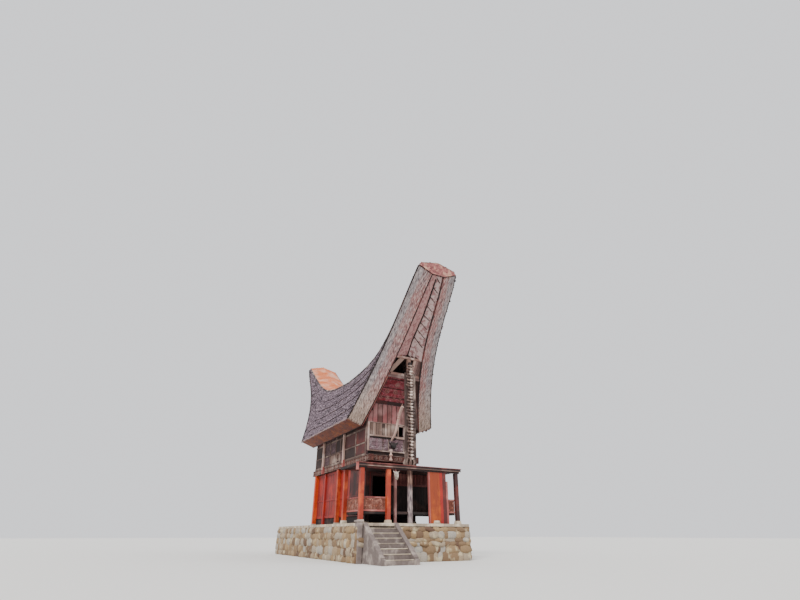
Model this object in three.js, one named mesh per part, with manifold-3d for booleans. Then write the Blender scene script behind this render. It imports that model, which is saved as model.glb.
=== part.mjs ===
// Tongkonan house: a boarded timber house on a stone plinth, under a saddle-backed bamboo roof whose
// two ends rise into long horns. Millimetres, +Z up. The origin is on the ground under the middle of
// the house, and the carved front with its porch faces -Y.
import * as THREE from 'three';
import { mergeVertices } from 'three/addons/utils/BufferGeometryUtils.js';
import Module from 'manifold-3d';

const wasm = await Module();
wasm.setup();

// Clearance between touching pieces, and between a piece and the one that it is cut to fit
const GAP = 0.3;
const FIT_GAP = 1;

// Stone plinth and its front steps
const PLINTH_HEIGHT = 1700;
const PLINTH_HALF_WIDTH = 3250;
const PLINTH_FRONT_Y = -7300;
const PLINTH_BACK_Y = 6750;
const STEP_COUNT = 8;
const STEP_GOING = 280;
const STAIR_CENTRE_X = -2060;
const STAIR_WIDTH = 1500;
const CHEEK_WIDTH = 200;

// Timber body: everything from here on is measured up from the plinth's top by level()
const level = (height) => PLINTH_HEIGHT + height;
const BODY_HALF_WIDTH = 1650;
const BODY_HALF_LENGTH = 4450;
const POST_SIZE = 260;
const WALL_THICKNESS = 80;
const FLOOR_THICKNESS = 110;
const LOWER_FLOOR_TOP = level(560);
const SLEEPER_WIDTH = 240;
const BEAM_BOTTOM = level(3300);
const BEAM_TOP = level(3650);
const BEAM_OVERHANG = 450;
const UPPER_FLOOR_TOP = level(3880);
const UPPER_FLOOR_SETBACK = 40;
const WALL_TOP_BEFORE_CUT = level(6400);
const FRONT_WALL_TOP = level(6750);

// Openings: doorway on the porch, one small window in each wall of the upper storey
const DOOR = { left: -1200, right: -200, top: level(2500) };
const FRONT_WINDOW = { x: 650, z: level(5110), width: 360, height: 660 };
const SIDE_WINDOW = { y: 0, z: level(4080), width: 260, height: 360 };

// Roof: two thick leaves of layered bamboo between the ridge and the eaves
const HORN_REACH = { front: 10230, back: 9500 };
const RIDGE_HALF_WIDTH = 1200;
const SADDLE_Z = level(9300);
const HORN_SLOPE = 0.862;
const HORN_START = 5000;
const HORN_BEND = 2200;
const RIDGE_CAP_THICKNESS = 120;
const RIDGE_CAP_PEAK = 300;
const RIDGE_BEAM_HALF_WIDTH = 170;
const RIDGE_BEAM_DEPTH = 200;
const EAVE_HALF_LENGTH = 4350;
const EAVE_HALF_WIDTH = 2900;
const EAVE_Z = level(5620);
const LEAF_THICKNESS = 870;
const LEAF_SEAT = 250;
const EAVE_DROP = 320;
const RIDGE_DROP = 300;
const TIP_HALF_WIDTH = 1300;
const TIP_DEPTH = 80;
const TIP_DROP = 380;
const VERGE_PULL = 425;
const VERGE_LIFT = 585;
const VERGE_FADE = 1.6;
const HORN_STATIONS = 10;
const BODY_STATIONS = 8;
const HORN_CAP_THICKNESS = 60;

// Courses of bamboo down the outer slope, each lapping over the next; the laps fade up the horns
const COURSE_COUNT = 5;
const COURSE_LAP = 45;
const LAP_SHARE = 0.02;

// Boards under the outer part of each horn, a shallow V that opens towards the tie beam
const SOFFIT_THICKNESS = 40;
const SOFFIT_START = 360;
const SOFFIT_BEARING = 30;
const SOFFIT_RECESS = 40;
const SOFFIT_RISE = 100;
const SOFFIT_OPENING = { until: 0.7, rise: 440 };

// Gable panels that lean out under the horns, and the tie beams across them
const GABLE_LEAN = 1120;
const GABLE_TOP = level(8400);
const GABLE_THICKNESS = 60;
const GABLE_HALF_WIDTH = 1600;
const HORN_PILLAR_Y = { front: -6640, back: 6200 };
const HORN_PILLAR_RADIUS = 140;
const TIES = {
  lower: { pastPillar: -640, width: 130, height: 150 },
  upper: { pastPillar: 0, width: 120, height: 130 },
};
const TIE_BEARING = 40;
const TIE_LIFT = 130;

// Porch in front of the house
const PORCH_HALF_WIDTH = 3050;
const PORCH_FRONT_Y = -6900;
const PORCH_REAR_Y = -4740;
const PORCH_POST_SIZE = 220;
const PORCH_INNER_POSTS = { left: { x: -1400, width: 220 }, right: { x: 1500, width: 320 } };
const CANOPY_OVERHANG = 150;
const CANOPY_FRONT_OVERHANG = 90;
const CANOPY_BOTTOM = level(2720);
const CANOPY_THICKNESS = 110;
const PORCH_BEAM_WIDTH = 110;
const PORCH_BEAM_DEPTH = 120;
const RAIL_TOP = level(1220);
const RAIL_THICKNESS = 60;
const SCREEN_THICKNESS = 50;

// Carvings on the front wall
const HEAD_CENTRE_Z = level(4280);
const HEAD_LENGTH = 460;

const house = new THREE.Group();
house.name = 'tongkonan_house';

function finish(color, roughness) {
  return new THREE.MeshStandardMaterial({ color, roughness, metalness: 0 });
}

const rubbleStone = finish('#8d8275', 0.95);
const concrete = finish('#b9b2a2', 0.9);
const redTimber = finish('#b5301d', 0.6);
const orangeTimber = finish('#c8542a', 0.6);
const carvedTimber = finish('#7a5a52', 0.8);
const gableTimber = finish('#8e3433', 0.75);
const darkTimber = finish('#4a3029', 0.85);
const paleTimber = finish('#c3a993', 0.8);
const greyTrunk = finish('#8a827c', 0.9);
const bamboo = finish('#6d6168', 0.95);
const rustySheet = finish('#c07a55', 0.7);

function add(name, geometry, material) {
  const mesh = new THREE.Mesh(geometry, material);
  mesh.name = name;
  house.add(mesh);
  return mesh;
}

// A box between two opposite corners
function box([x0, y0, z0], [x1, y1, z1]) {
  const geometry = new THREE.BoxGeometry(x1 - x0, y1 - y0, z1 - z0);
  return geometry.translate((x0 + x1) / 2, (y0 + y1) / 2, (z0 + z1) / 2);
}

// A closed skin over rings of points, each ring a flat outline with the same number of points
function loft(rings) {
  const count = rings[0].length;
  const points = rings.flat();
  const faces = [];
  for (let ring = 0; ring < rings.length - 1; ring++) {
    for (let i = 0; i < count; i++) {
      const a = ring * count + i;
      const b = ring * count + ((i + 1) % count);
      faces.push([a, b, b + count], [a, b + count, a + count]);
    }
  }
  const last = (rings.length - 1) * count;
  for (const [a, b, c] of endFaces(rings[0])) {
    faces.push([a, c, b], [a + last, b + last, c + last]);
  }
  const geometry = new THREE.BufferGeometry();
  geometry.setAttribute('position', new THREE.Float32BufferAttribute(points.flat(), 3));
  const outward = enclosedVolume(points, faces) > 0;
  geometry.setIndex(faces.flatMap(([a, b, c]) => (outward ? [a, b, c] : [a, c, b])));
  return geometry;
}

// Triangles that fill a ring, which lies across the axis along which it spreads least
function endFaces(ring) {
  const spans = [0, 1, 2].map((axis) => {
    const values = ring.map((point) => point[axis]);
    return Math.max(...values) - Math.min(...values);
  });
  const flat = spans.indexOf(Math.min(...spans));
  const [u, v] = [0, 1, 2].filter((axis) => axis !== flat);
  const outline = ring.map((point) => new THREE.Vector2(point[u], point[v]));
  const faces = THREE.ShapeUtils.triangulateShape(outline, []);
  return THREE.ShapeUtils.isClockWise(outline) ? faces.map(([a, b, c]) => [a, c, b]) : faces;
}

function enclosedVolume(points, faces) {
  let sum = 0;
  for (const [a, b, c] of faces) {
    const corners = [a, b, c].map((index) => new THREE.Vector3(...points[index]));
    sum += corners[0].dot(corners[1].cross(corners[2])) / 6;
  }
  return sum;
}

function toSolid(geometry) {
  const bare = geometry.clone();
  bare.deleteAttribute('normal');
  bare.deleteAttribute('uv');
  const merged = mergeVertices(bare);
  return new wasm.Manifold(
    new wasm.Mesh({
      numProp: 3,
      vertProperties: new Float32Array(merged.attributes.position.array),
      triVerts: new Uint32Array(merged.index.array),
    }),
  );
}

function toGeometry(solid) {
  const mesh = solid.getMesh();
  const geometry = new THREE.BufferGeometry();
  geometry.setAttribute('position', new THREE.BufferAttribute(mesh.vertProperties, 3));
  geometry.setIndex(new THREE.BufferAttribute(mesh.triVerts, 1));
  return geometry;
}

function cut(geometry, cutters) {
  const cutSolid = cutters.reduce((rest, cutter) => rest.subtract(toSolid(cutter)), toSolid(geometry));
  return toGeometry(cutSolid);
}

function join(geometries) {
  const [first, ...others] = geometries.map(toSolid);
  return toGeometry(others.reduce((whole, solid) => whole.add(solid), first));
}

// Top edge of the roof at distance y from the middle: nearly level over the house, then straight up
// the horns, on a hyperbola
function ridgeZ(y) {
  const curve = (distance) => {
    const past = distance - HORN_START;
    return (HORN_SLOPE / 2) * (past + Math.hypot(past, HORN_BEND));
  };
  return SADDLE_Z + curve(Math.abs(y)) - curve(0);
}

// Outer lower edge of a leaf: level along the eave, then up the verge to the horn's tip, bowed in and up
function lowerEdge(y) {
  const reach = y < 0 ? HORN_REACH.front : HORN_REACH.back;
  const climb = Math.max(0, (Math.abs(y) - EAVE_HALF_LENGTH) / (reach - EAVE_HALF_LENGTH));
  const tipZ = ridgeZ(reach) - RIDGE_CAP_THICKNESS - TIP_DEPTH;
  const hump = (share) => share * (1 - share) ** VERGE_FADE;
  const bow = hump(climb) / hump(1 / (1 + VERGE_FADE));
  return {
    climb,
    x: THREE.MathUtils.lerp(EAVE_HALF_WIDTH, TIP_HALF_WIDTH, climb) - VERGE_PULL * bow,
    z: THREE.MathUtils.lerp(EAVE_Z, tipZ, climb) + VERGE_LIFT * bow,
    drop: THREE.MathUtils.lerp(EAVE_DROP, TIP_DROP, climb),
  };
}

function roofStations() {
  const spread = (from, to, count) =>
    Array.from({ length: count }, (_, i) => THREE.MathUtils.lerp(from, to, i / count));
  return [
    ...spread(-HORN_REACH.front, -EAVE_HALF_LENGTH, HORN_STATIONS),
    ...spread(-EAVE_HALF_LENGTH, EAVE_HALF_LENGTH, BODY_STATIONS),
    ...spread(EAVE_HALF_LENGTH, HORN_REACH.back, HORN_STATIONS),
    HORN_REACH.back,
  ];
}

// Outline of the outer slope from the ridge to the low edge, where each course ends over the next
function slopeOutline(ridge, low) {
  const slope = low.clone().sub(ridge);
  const lap = Math.min(COURSE_LAP, LAP_SHARE * slope.length());
  const inward = new THREE.Vector2(slope.y, -slope.x).setLength(lap);
  const outline = [ridge];
  for (let course = 1; course < COURSE_COUNT; course++) {
    const end = ridge.clone().lerp(low, course / COURSE_COUNT);
    outline.push(end, end.clone().add(inward));
  }
  return [...outline, low];
}

function roofLeaf(side) {
  return loft(roofStations().map((y) => {
    const top = ridgeZ(y) - RIDGE_CAP_THICKNESS;
    const low = lowerEdge(y);
    const slope = slopeOutline(new THREE.Vector2(RIDGE_HALF_WIDTH, top), new THREE.Vector2(low.x, low.z));
    return [
      ...slope.map((point) => [side * point.x, y, point.y]),
      [side * (low.x - LEAF_THICKNESS), y, low.z - low.drop],
      [side * (RIDGE_HALF_WIDTH - LEAF_THICKNESS), y, top - RIDGE_DROP],
      [side * (RIDGE_HALF_WIDTH - LEAF_SEAT), y, top],
    ];
  }));
}

function ridgeCap() {
  return loft(roofStations().map((y) => {
    const top = ridgeZ(y);
    const bottom = top - RIDGE_CAP_THICKNESS + GAP;
    return [
      [-RIDGE_HALF_WIDTH, y, bottom],
      [RIDGE_HALF_WIDTH, y, bottom],
      [RIDGE_HALF_WIDTH, y, top],
      [0, y, top + RIDGE_CAP_PEAK],
      [-RIDGE_HALF_WIDTH, y, top],
    ];
  }));
}

function ridgeBeam() {
  return loft(roofStations().map((y) => {
    const top = ridgeZ(y) - RIDGE_CAP_THICKNESS;
    return [
      [-RIDGE_BEAM_HALF_WIDTH, y, top - RIDGE_BEAM_DEPTH],
      [RIDGE_BEAM_HALF_WIDTH, y, top - RIDGE_BEAM_DEPTH],
      [RIDGE_BEAM_HALF_WIDTH, y, top],
      [-RIDGE_BEAM_HALF_WIDTH, y, top],
    ];
  }));
}

// Board that closes the tip of a horn, over the ends of the leaves, ridge cap and ridge beam
function hornCap(end, reach) {
  const top = ridgeZ(reach);
  const low = top - RIDGE_CAP_THICKNESS - TIP_DEPTH;
  const inner = TIP_HALF_WIDTH - LEAF_THICKNESS;
  const ring = (y) => [
    [-RIDGE_HALF_WIDTH, y, top],
    [-TIP_HALF_WIDTH, y, low],
    [-inner, y, low - TIP_DROP],
    [inner, y, low - TIP_DROP],
    [TIP_HALF_WIDTH, y, low],
    [RIDGE_HALF_WIDTH, y, top],
    [0, y, top + RIDGE_CAP_PEAK],
  ];
  const start = reach + GAP;
  return loft([ring(end * start), ring(end * (start + HORN_CAP_THICKNESS))]);
}

// Thin boards under a horn from its tip almost to the upper tie beam
function soffit(end, reach, start) {
  const inside = roofStations().filter((y) => y * end > start && y * end < reach);
  const ys = [end * start, ...inside, end * reach].sort((a, b) => a - b);
  return loft(ys.map((y) => {
    const low = lowerEdge(y);
    const half = low.x - LEAF_THICKNESS + SOFFIT_BEARING;
    const edge = low.z - low.drop + SOFFIT_RECESS;
    const opening = Math.max(0, 1 - low.climb / SOFFIT_OPENING.until) / (1 - SOFFIT_OPENING.until);
    const middle = edge + SOFFIT_RISE + SOFFIT_OPENING.rise * opening;
    return [
      [-half, y, edge],
      [0, y, middle],
      [half, y, edge],
      [half, y, edge + SOFFIT_THICKNESS],
      [0, y, middle + SOFFIT_THICKNESS],
      [-half, y, edge + SOFFIT_THICKNESS],
    ];
  }));
}

const leaves = { left: roofLeaf(-1), right: roofLeaf(1) };
const leafCutters = Object.values(leaves).map((leaf) => leaf.clone().translate(0, 0, -FIT_GAP));

function addPlinth() {
  add(
    'plinth',
    box([-PLINTH_HALF_WIDTH, PLINTH_FRONT_Y, 0], [PLINTH_HALF_WIDTH, PLINTH_BACK_Y, PLINTH_HEIGHT]),
    rubbleStone,
  );
}

// Flight of solid steps between two sloping cheeks, one mass of masonry against the plinth
function addSteps() {
  const rise = PLINTH_HEIGHT / STEP_COUNT;
  const depth = (STEP_COUNT - 1) * STEP_GOING;
  const profile = [[0, 0], [depth, 0]];
  for (let step = 1; step < STEP_COUNT; step++) {
    const front = depth - (step - 1) * STEP_GOING;
    profile.push([front, step * rise], [front - STEP_GOING, step * rise]);
  }
  const face = PLINTH_FRONT_Y - GAP;
  const left = STAIR_CENTRE_X - STAIR_WIDTH / 2;
  const right = STAIR_CENTRE_X + STAIR_WIDTH / 2;
  const slab = (outline, x0, x1) =>
    loft([x0, x1].map((x) => outline.map(([out, z]) => [x, face - out, z])));
  const cheek = [[0, 0], [depth + 150, 0], [depth + 150, rise], [depth, rise + 60], [0, PLINTH_HEIGHT]];
  add(
    'front_steps',
    join([
      slab(profile, left, right),
      slab(cheek, left - CHEEK_WIDTH, left + 1),
      slab(cheek, right - 1, right + CHEEK_WIDTH),
    ]),
    concrete,
  );
}

function addLowerStorey() {
  const wallOuter = BODY_HALF_WIDTH - POST_SIZE - GAP;
  const wallInner = wallOuter - WALL_THICKNESS;
  const bottom = LOWER_FLOOR_TOP - FLOOR_THICKNESS;
  const top = BEAM_BOTTOM - GAP;
  const rows = [-BODY_HALF_LENGTH + POST_SIZE / 2, 0, BODY_HALF_LENGTH - POST_SIZE / 2];
  for (const [side, sign] of [['left', -1], ['right', 1]]) {
    const centre = sign * (BODY_HALF_WIDTH - POST_SIZE / 2);
    rows.forEach((y, index) => {
      const post = box(
        [centre - POST_SIZE / 2, y - POST_SIZE / 2, PLINTH_HEIGHT + GAP],
        [centre + POST_SIZE / 2, y + POST_SIZE / 2, top],
      );
      add(`house_post_${side}_${index + 1}`, post, orangeTimber);
    });
    const [near, far] = sign < 0 ? [-wallOuter, -wallInner] : [wallInner, wallOuter];
    add(
      `lower_wall_${side}`,
      box([near, -BODY_HALF_LENGTH, bottom], [far, BODY_HALF_LENGTH, top]),
      redTimber,
    );
  }

  const halfWidth = wallInner - GAP;
  const front = -BODY_HALF_LENGTH;
  const panels = {
    lower_front_wall_left: [-halfWidth, DOOR.left, bottom, top],
    lower_front_wall_right: [DOOR.right, halfWidth, bottom, top],
    lower_front_wall_over: [DOOR.left + GAP, DOOR.right - GAP, DOOR.top, top],
  };
  for (const [name, [x0, x1, z0, z1]] of Object.entries(panels)) {
    add(name, box([x0, front, z0], [x1, front + WALL_THICKNESS, z1]), redTimber);
  }
  add(
    'lower_back_wall',
    box([-halfWidth, -front - WALL_THICKNESS, bottom], [halfWidth, -front, top]),
    redTimber,
  );
  const floorEnd = BODY_HALF_LENGTH - WALL_THICKNESS - GAP;
  add(
    'lower_floor',
    box([-halfWidth, -floorEnd, bottom], [halfWidth, floorEnd, LOWER_FLOOR_TOP]),
    darkTimber,
  );
  const sleeperTop = bottom - GAP;
  const frameBetween = (inset, z0, z1) => box(
    [-wallOuter + inset, -BODY_HALF_LENGTH + inset, z0],
    [wallOuter - inset, BODY_HALF_LENGTH - inset, z1],
  );
  const sleepers = cut(frameBetween(0, PLINTH_HEIGHT + GAP, sleeperTop), [
    frameBetween(SLEEPER_WIDTH, PLINTH_HEIGHT, bottom),
  ]);
  add('floor_sleepers', sleepers, darkTimber);
}

function addFloorFrame() {
  const inner = BODY_HALF_WIDTH - POST_SIZE;
  const end = BODY_HALF_LENGTH + BEAM_OVERHANG;
  add('floor_beam_left', box([-BODY_HALF_WIDTH, -end, BEAM_BOTTOM], [-inner, end, BEAM_TOP]), carvedTimber);
  add('floor_beam_right', box([inner, -end, BEAM_BOTTOM], [BODY_HALF_WIDTH, end, BEAM_TOP]), carvedTimber);
  for (const [name, sign] of [['front', -1], ['back', 1]]) {
    const ys = [sign * (BODY_HALF_LENGTH + 110), sign * (BODY_HALF_LENGTH + 250)].sort((a, b) => a - b);
    add(
      `carved_beam_${name}`,
      box([-inner + GAP, ys[0], BEAM_BOTTOM], [inner - GAP, ys[1], BEAM_TOP]),
      carvedTimber,
    );
  }
  const floorHalfWidth = BODY_HALF_WIDTH - WALL_THICKNESS - GAP;
  const floorEnd = BODY_HALF_LENGTH - UPPER_FLOOR_SETBACK;
  add(
    'upper_floor',
    box([-floorHalfWidth, -floorEnd, BEAM_TOP + GAP], [floorHalfWidth, floorEnd, UPPER_FLOOR_TOP - GAP]),
    darkTimber,
  );
}

function addUpperWalls() {
  const outer = BODY_HALF_WIDTH;
  const inner = BODY_HALF_WIDTH - WALL_THICKNESS;
  for (const [side, sign] of [['left', -1], ['right', 1]]) {
    const [near, far] = sign < 0 ? [-outer, -inner] : [inner, outer];
    const wall = box(
      [near, -BODY_HALF_LENGTH, BEAM_TOP + GAP],
      [far, BODY_HALF_LENGTH, WALL_TOP_BEFORE_CUT],
    );
    const { y, z, width, height } = SIDE_WINDOW;
    const hole = box(
      [near - 50, y - width / 2, z - height / 2],
      [far + 50, y + width / 2, z + height / 2],
    );
    add(`upper_wall_${side}`, cut(wall, [hole, ...leafCutters]), carvedTimber);
  }
  for (const [name, sign] of [['front', -1], ['back', 1]]) {
    const ys = [sign * BODY_HALF_LENGTH, sign * (BODY_HALF_LENGTH - WALL_THICKNESS)].sort((a, b) => a - b);
    const wall = box([-inner + GAP, ys[0], UPPER_FLOOR_TOP], [inner - GAP, ys[1], FRONT_WALL_TOP]);
    const { x, z, width, height } = FRONT_WINDOW;
    const hole = box(
      [x - width / 2, ys[0] - 50, z - height / 2],
      [x + width / 2, ys[1] + 50, z + height / 2],
    );
    add(`upper_wall_${name}`, cut(wall, [hole, ...leafCutters]), carvedTimber);
  }
}

// Leaning board panel over each end wall, cut to fit between the two leaves
function addGables() {
  for (const [name, sign] of [['front', -1], ['back', 1]]) {
    const ring = (y, z) => [
      [-GABLE_HALF_WIDTH, sign * y, z],
      [GABLE_HALF_WIDTH, sign * y, z],
      [GABLE_HALF_WIDTH, sign * (y - GABLE_THICKNESS), z],
      [-GABLE_HALF_WIDTH, sign * (y - GABLE_THICKNESS), z],
    ];
    const panel = loft([
      ring(BODY_HALF_LENGTH, FRONT_WALL_TOP + GAP),
      ring(BODY_HALF_LENGTH + GABLE_LEAN, GABLE_TOP),
    ]);
    add(`gable_panel_${name}`, cut(panel, leafCutters), gableTimber);
  }
}

// Pillar under each horn with a tie beam on its top and one behind it, from leaf to leaf
function addHornFrames() {
  for (const [name, pillarY] of Object.entries(HORN_PILLAR_Y)) {
    const end = Math.sign(pillarY);
    let tieBottom;
    for (const [place, tie] of Object.entries(TIES)) {
      const y = pillarY + end * tie.pastPillar;
      const verge = lowerEdge(y);
      const halfLength = verge.x - LEAF_THICKNESS + TIE_BEARING;
      tieBottom = verge.z - verge.drop + TIE_LIFT;
      const beam = box(
        [-halfLength, y - tie.width / 2, tieBottom],
        [halfLength, y + tie.width / 2, tieBottom + tie.height],
      );
      add(`${place}_tie_${name}`, cut(beam, leafCutters), paleTimber);
    }
    const height = tieBottom - PLINTH_HEIGHT - 2 * GAP;
    const pillar = new THREE.CylinderGeometry(HORN_PILLAR_RADIUS, HORN_PILLAR_RADIUS, height, 16);
    pillar.rotateX(Math.PI / 2).translate(0, pillarY, PLINTH_HEIGHT + GAP + height / 2);
    add(`horn_pillar_${name}`, pillar, greyTrunk);
    const boards = soffit(end, HORN_REACH[name], Math.abs(pillarY) + SOFFIT_START);
    add(`horn_soffit_${name}`, cut(boards, leafCutters), paleTimber);
  }
}

function addRoof() {
  add('roof_leaf_left', leaves.left, bamboo);
  add('roof_leaf_right', leaves.right, bamboo);
  add('ridge_cap', ridgeCap(), rustySheet);
  add('ridge_beam', ridgeBeam(), darkTimber);
  add('horn_cap_front', hornCap(-1, HORN_REACH.front), gableTimber);
  add('horn_cap_back', hornCap(1, HORN_REACH.back), gableTimber);
}

function addPorch() {
  const holeHalf = HORN_PILLAR_RADIUS + FIT_GAP;
  const pillarHole = box(
    [-holeHalf, HORN_PILLAR_Y.front - holeHalf, PLINTH_HEIGHT],
    [holeHalf, HORN_PILLAR_Y.front + holeHalf, level(4000)],
  );
  const rowBack = PORCH_FRONT_Y + PORCH_POST_SIZE;
  const outerX = PORCH_HALF_WIDTH - PORCH_POST_SIZE / 2;
  const beamBottom = CANOPY_BOTTOM - PORCH_BEAM_DEPTH;
  const { left: innerLeft, right: innerRight } = PORCH_INNER_POSTS;
  const places = {
    porch_post_left: [-outerX, PORCH_POST_SIZE, PORCH_FRONT_Y, beamBottom],
    porch_post_inner_left: [innerLeft.x, innerLeft.width, PORCH_FRONT_Y, beamBottom],
    porch_post_inner_right: [innerRight.x, innerRight.width, PORCH_FRONT_Y, beamBottom],
    porch_post_right: [outerX, PORCH_POST_SIZE, PORCH_FRONT_Y, beamBottom],
    porch_post_rear_left: [-outerX, PORCH_POST_SIZE, PORCH_REAR_Y, CANOPY_BOTTOM],
    porch_post_rear_right: [outerX, PORCH_POST_SIZE, PORCH_REAR_Y, CANOPY_BOTTOM],
  };
  for (const [name, [x, width, y, top]] of Object.entries(places)) {
    const post = box(
      [x - width / 2, y, PLINTH_HEIGHT + GAP],
      [x + width / 2, y + PORCH_POST_SIZE, top - GAP],
    );
    add(name, post, orangeTimber);
  }

  const wallFace = -BODY_HALF_LENGTH - GAP;
  const deck = box(
    [-outerX + PORCH_POST_SIZE / 2 + GAP, rowBack + GAP, LOWER_FLOOR_TOP - FLOOR_THICKNESS],
    [outerX - PORCH_POST_SIZE / 2 - GAP, wallFace, LOWER_FLOOR_TOP],
  );
  add('porch_deck', cut(deck, [pillarHole]), darkTimber);
  const canopyHalf = PORCH_HALF_WIDTH + CANOPY_OVERHANG;
  const canopy = box(
    [-canopyHalf, PORCH_FRONT_Y - CANOPY_FRONT_OVERHANG, CANOPY_BOTTOM],
    [canopyHalf, wallFace, CANOPY_BOTTOM + CANOPY_THICKNESS],
  );
  add('porch_canopy', cut(canopy, [pillarHole]), redTimber);
  add(
    'porch_beam',
    box(
      [-canopyHalf + 60, PORCH_FRONT_Y, beamBottom],
      [canopyHalf - 60, PORCH_FRONT_Y + PORCH_BEAM_WIDTH, CANOPY_BOTTOM - GAP],
    ),
    redTimber,
  );

  const railBottom = LOWER_FLOOR_TOP + GAP;
  const innerFace = PORCH_HALF_WIDTH - PORCH_POST_SIZE - GAP;
  for (const [side, sign] of [['left', -1], ['right', 1]]) {
    const post = PORCH_INNER_POSTS[side];
    const xs = [sign * innerFace, post.x - (sign * post.width) / 2].sort((a, b) => a - b);
    add(
      `rail_front_${side}`,
      box([xs[0], rowBack + GAP, railBottom], [xs[1], rowBack + RAIL_THICKNESS, RAIL_TOP]),
      carvedTimber,
    );
    const sideXs = [sign * innerFace, sign * (innerFace - RAIL_THICKNESS)].sort((a, b) => a - b);
    add(
      `rail_side_${side}`,
      box([sideXs[0], rowBack + RAIL_THICKNESS + GAP, railBottom], [sideXs[1], wallFace, RAIL_TOP]),
      carvedTimber,
    );
  }
  add(
    'porch_screen',
    box(
      [BODY_HALF_WIDTH - POST_SIZE, wallFace - SCREEN_THICKNESS, railBottom],
      [innerFace - RAIL_THICKNESS - GAP, wallFace, CANOPY_BOTTOM - GAP],
    ),
    darkTimber,
  );
}

// Buffalo head and long-necked bird carving on the middle of the front wall
function addCarvings() {
  const wallFace = -BODY_HALF_LENGTH - GAP;
  const ring = (out, halfWidth, halfHeight, lift) =>
    Array.from({ length: 12 }, (_, i) => {
      const angle = (i / 12) * 2 * Math.PI;
      const z = HEAD_CENTRE_Z + lift + halfHeight * Math.sin(angle);
      return [halfWidth * Math.cos(angle), wallFace - out, z];
    });
  const head = loft([
    ring(0, 130, 170, 40),
    ring(HEAD_LENGTH * 0.25, 190, 210, 30),
    ring(HEAD_LENGTH * 0.55, 150, 170, -20),
    ring(HEAD_LENGTH * 0.85, 110, 120, -80),
    ring(HEAD_LENGTH, 70, 80, -100),
  ]);
  add('buffalo_head', head, darkTimber);

  const neckLine = new THREE.CatmullRomCurve3([
    new THREE.Vector3(0, wallFace + WALL_THICKNESS, level(4600)),
    new THREE.Vector3(0, wallFace - 200, level(4680)),
    new THREE.Vector3(0, wallFace - 520, level(4980)),
    new THREE.Vector3(0, wallFace - 760, level(5500)),
    new THREE.Vector3(0, wallFace - 1060, level(6040)),
    new THREE.Vector3(0, wallFace - 1350, level(6340)),
  ]);
  const section = new THREE.Shape().absellipse(0, 0, 60, 45, 0, 2 * Math.PI);
  const neck = new THREE.ExtrudeGeometry(section, { extrudePath: neckLine, steps: 24, curveSegments: 5 });
  const wallSpace = box([-500, wallFace, level(4000)], [500, wallFace + 500, level(5200)]);
  add('bird_carving', cut(neck, [wallSpace]), paleTimber);
}

addPlinth();
addSteps();
addLowerStorey();
addFloorFrame();
addUpperWalls();
addGables();
addHornFrames();
addRoof();
addPorch();
addCarvings();

export default house;
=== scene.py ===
"""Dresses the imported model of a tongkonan, a saddle-roofed timber house on a stone plinth.

Metres, +Z up, the carved front faces -Y. Every piece sits at the origin with its place in its mesh.
"""

import bisect
import math
import random

import bpy
from mathutils import Euler, Matrix, Vector


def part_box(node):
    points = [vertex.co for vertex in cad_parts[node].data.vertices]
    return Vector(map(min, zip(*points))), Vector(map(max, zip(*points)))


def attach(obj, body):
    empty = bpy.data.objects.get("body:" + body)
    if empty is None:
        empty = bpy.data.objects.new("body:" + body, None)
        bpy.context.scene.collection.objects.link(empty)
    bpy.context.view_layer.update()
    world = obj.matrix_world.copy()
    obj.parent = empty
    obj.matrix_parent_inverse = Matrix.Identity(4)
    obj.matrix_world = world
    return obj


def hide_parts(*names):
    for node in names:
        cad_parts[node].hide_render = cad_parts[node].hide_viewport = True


bl_info = {
    "name": "Tongkonan House",
    "version": (1, 1, 0),
    "blender": (4, 5, 0),
    "location": "3D View > Sidebar > House",
    "description": "Dresses the packed model of a saddle-roofed timber house",
    "category": "Add Mesh",
}

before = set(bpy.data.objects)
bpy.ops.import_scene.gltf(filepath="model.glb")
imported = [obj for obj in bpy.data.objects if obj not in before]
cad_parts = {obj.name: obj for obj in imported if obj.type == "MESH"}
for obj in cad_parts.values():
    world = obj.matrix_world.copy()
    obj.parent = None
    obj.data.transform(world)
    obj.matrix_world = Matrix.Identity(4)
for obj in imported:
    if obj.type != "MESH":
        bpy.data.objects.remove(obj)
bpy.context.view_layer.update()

PLINTH_LOW, PLINTH_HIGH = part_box("plinth")
STEPS_LOW, STEPS_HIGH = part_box("front_steps")
WALL_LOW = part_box("upper_wall_front")[0]
BEAM_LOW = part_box("carved_beam_front")[0]
DECK_LOW, DECK_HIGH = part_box("porch_deck")
CANOPY_LOW, CANOPY_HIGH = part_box("porch_canopy")
POST_LOW, POST_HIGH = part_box("porch_post_inner_right")
BODY_HALF_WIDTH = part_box("floor_beam_right")[1].x
BODY_HALF_LENGTH = -WALL_LOW.y
ENDS = {"front": -1, "back": 1}
SIDES = {"left": -1, "right": 1}


# Shared modelling steps


def model(kind, *steps, **settings):
    """Add a mesh primitive with nothing else selected, then run edit-mode steps on all of it."""
    bpy.ops.object.select_all(action="DESELECT")
    getattr(bpy.ops.mesh, f"primitive_{kind}_add")(**settings)
    shape = bpy.context.object
    bpy.ops.object.transform_apply(location=True, rotation=True, scale=True)
    bpy.ops.object.mode_set(mode="EDIT")
    for step, options in steps:
        bpy.ops.mesh.select_all(action="SELECT")
        getattr(bpy.ops.mesh, step)(**options)
    bpy.ops.object.mode_set(mode="OBJECT")
    return shape


def bevelled_block(bevel):
    """A one-metre block with its edges taken off, the start of boards, beams and slabs."""
    return model("cube", ("bevel", {"offset": bevel, "segments": 1, "affect": "EDGES"}), size=1)


def discard(*shapes):
    for shape in shapes:
        bpy.data.objects.remove(shape)


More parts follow.
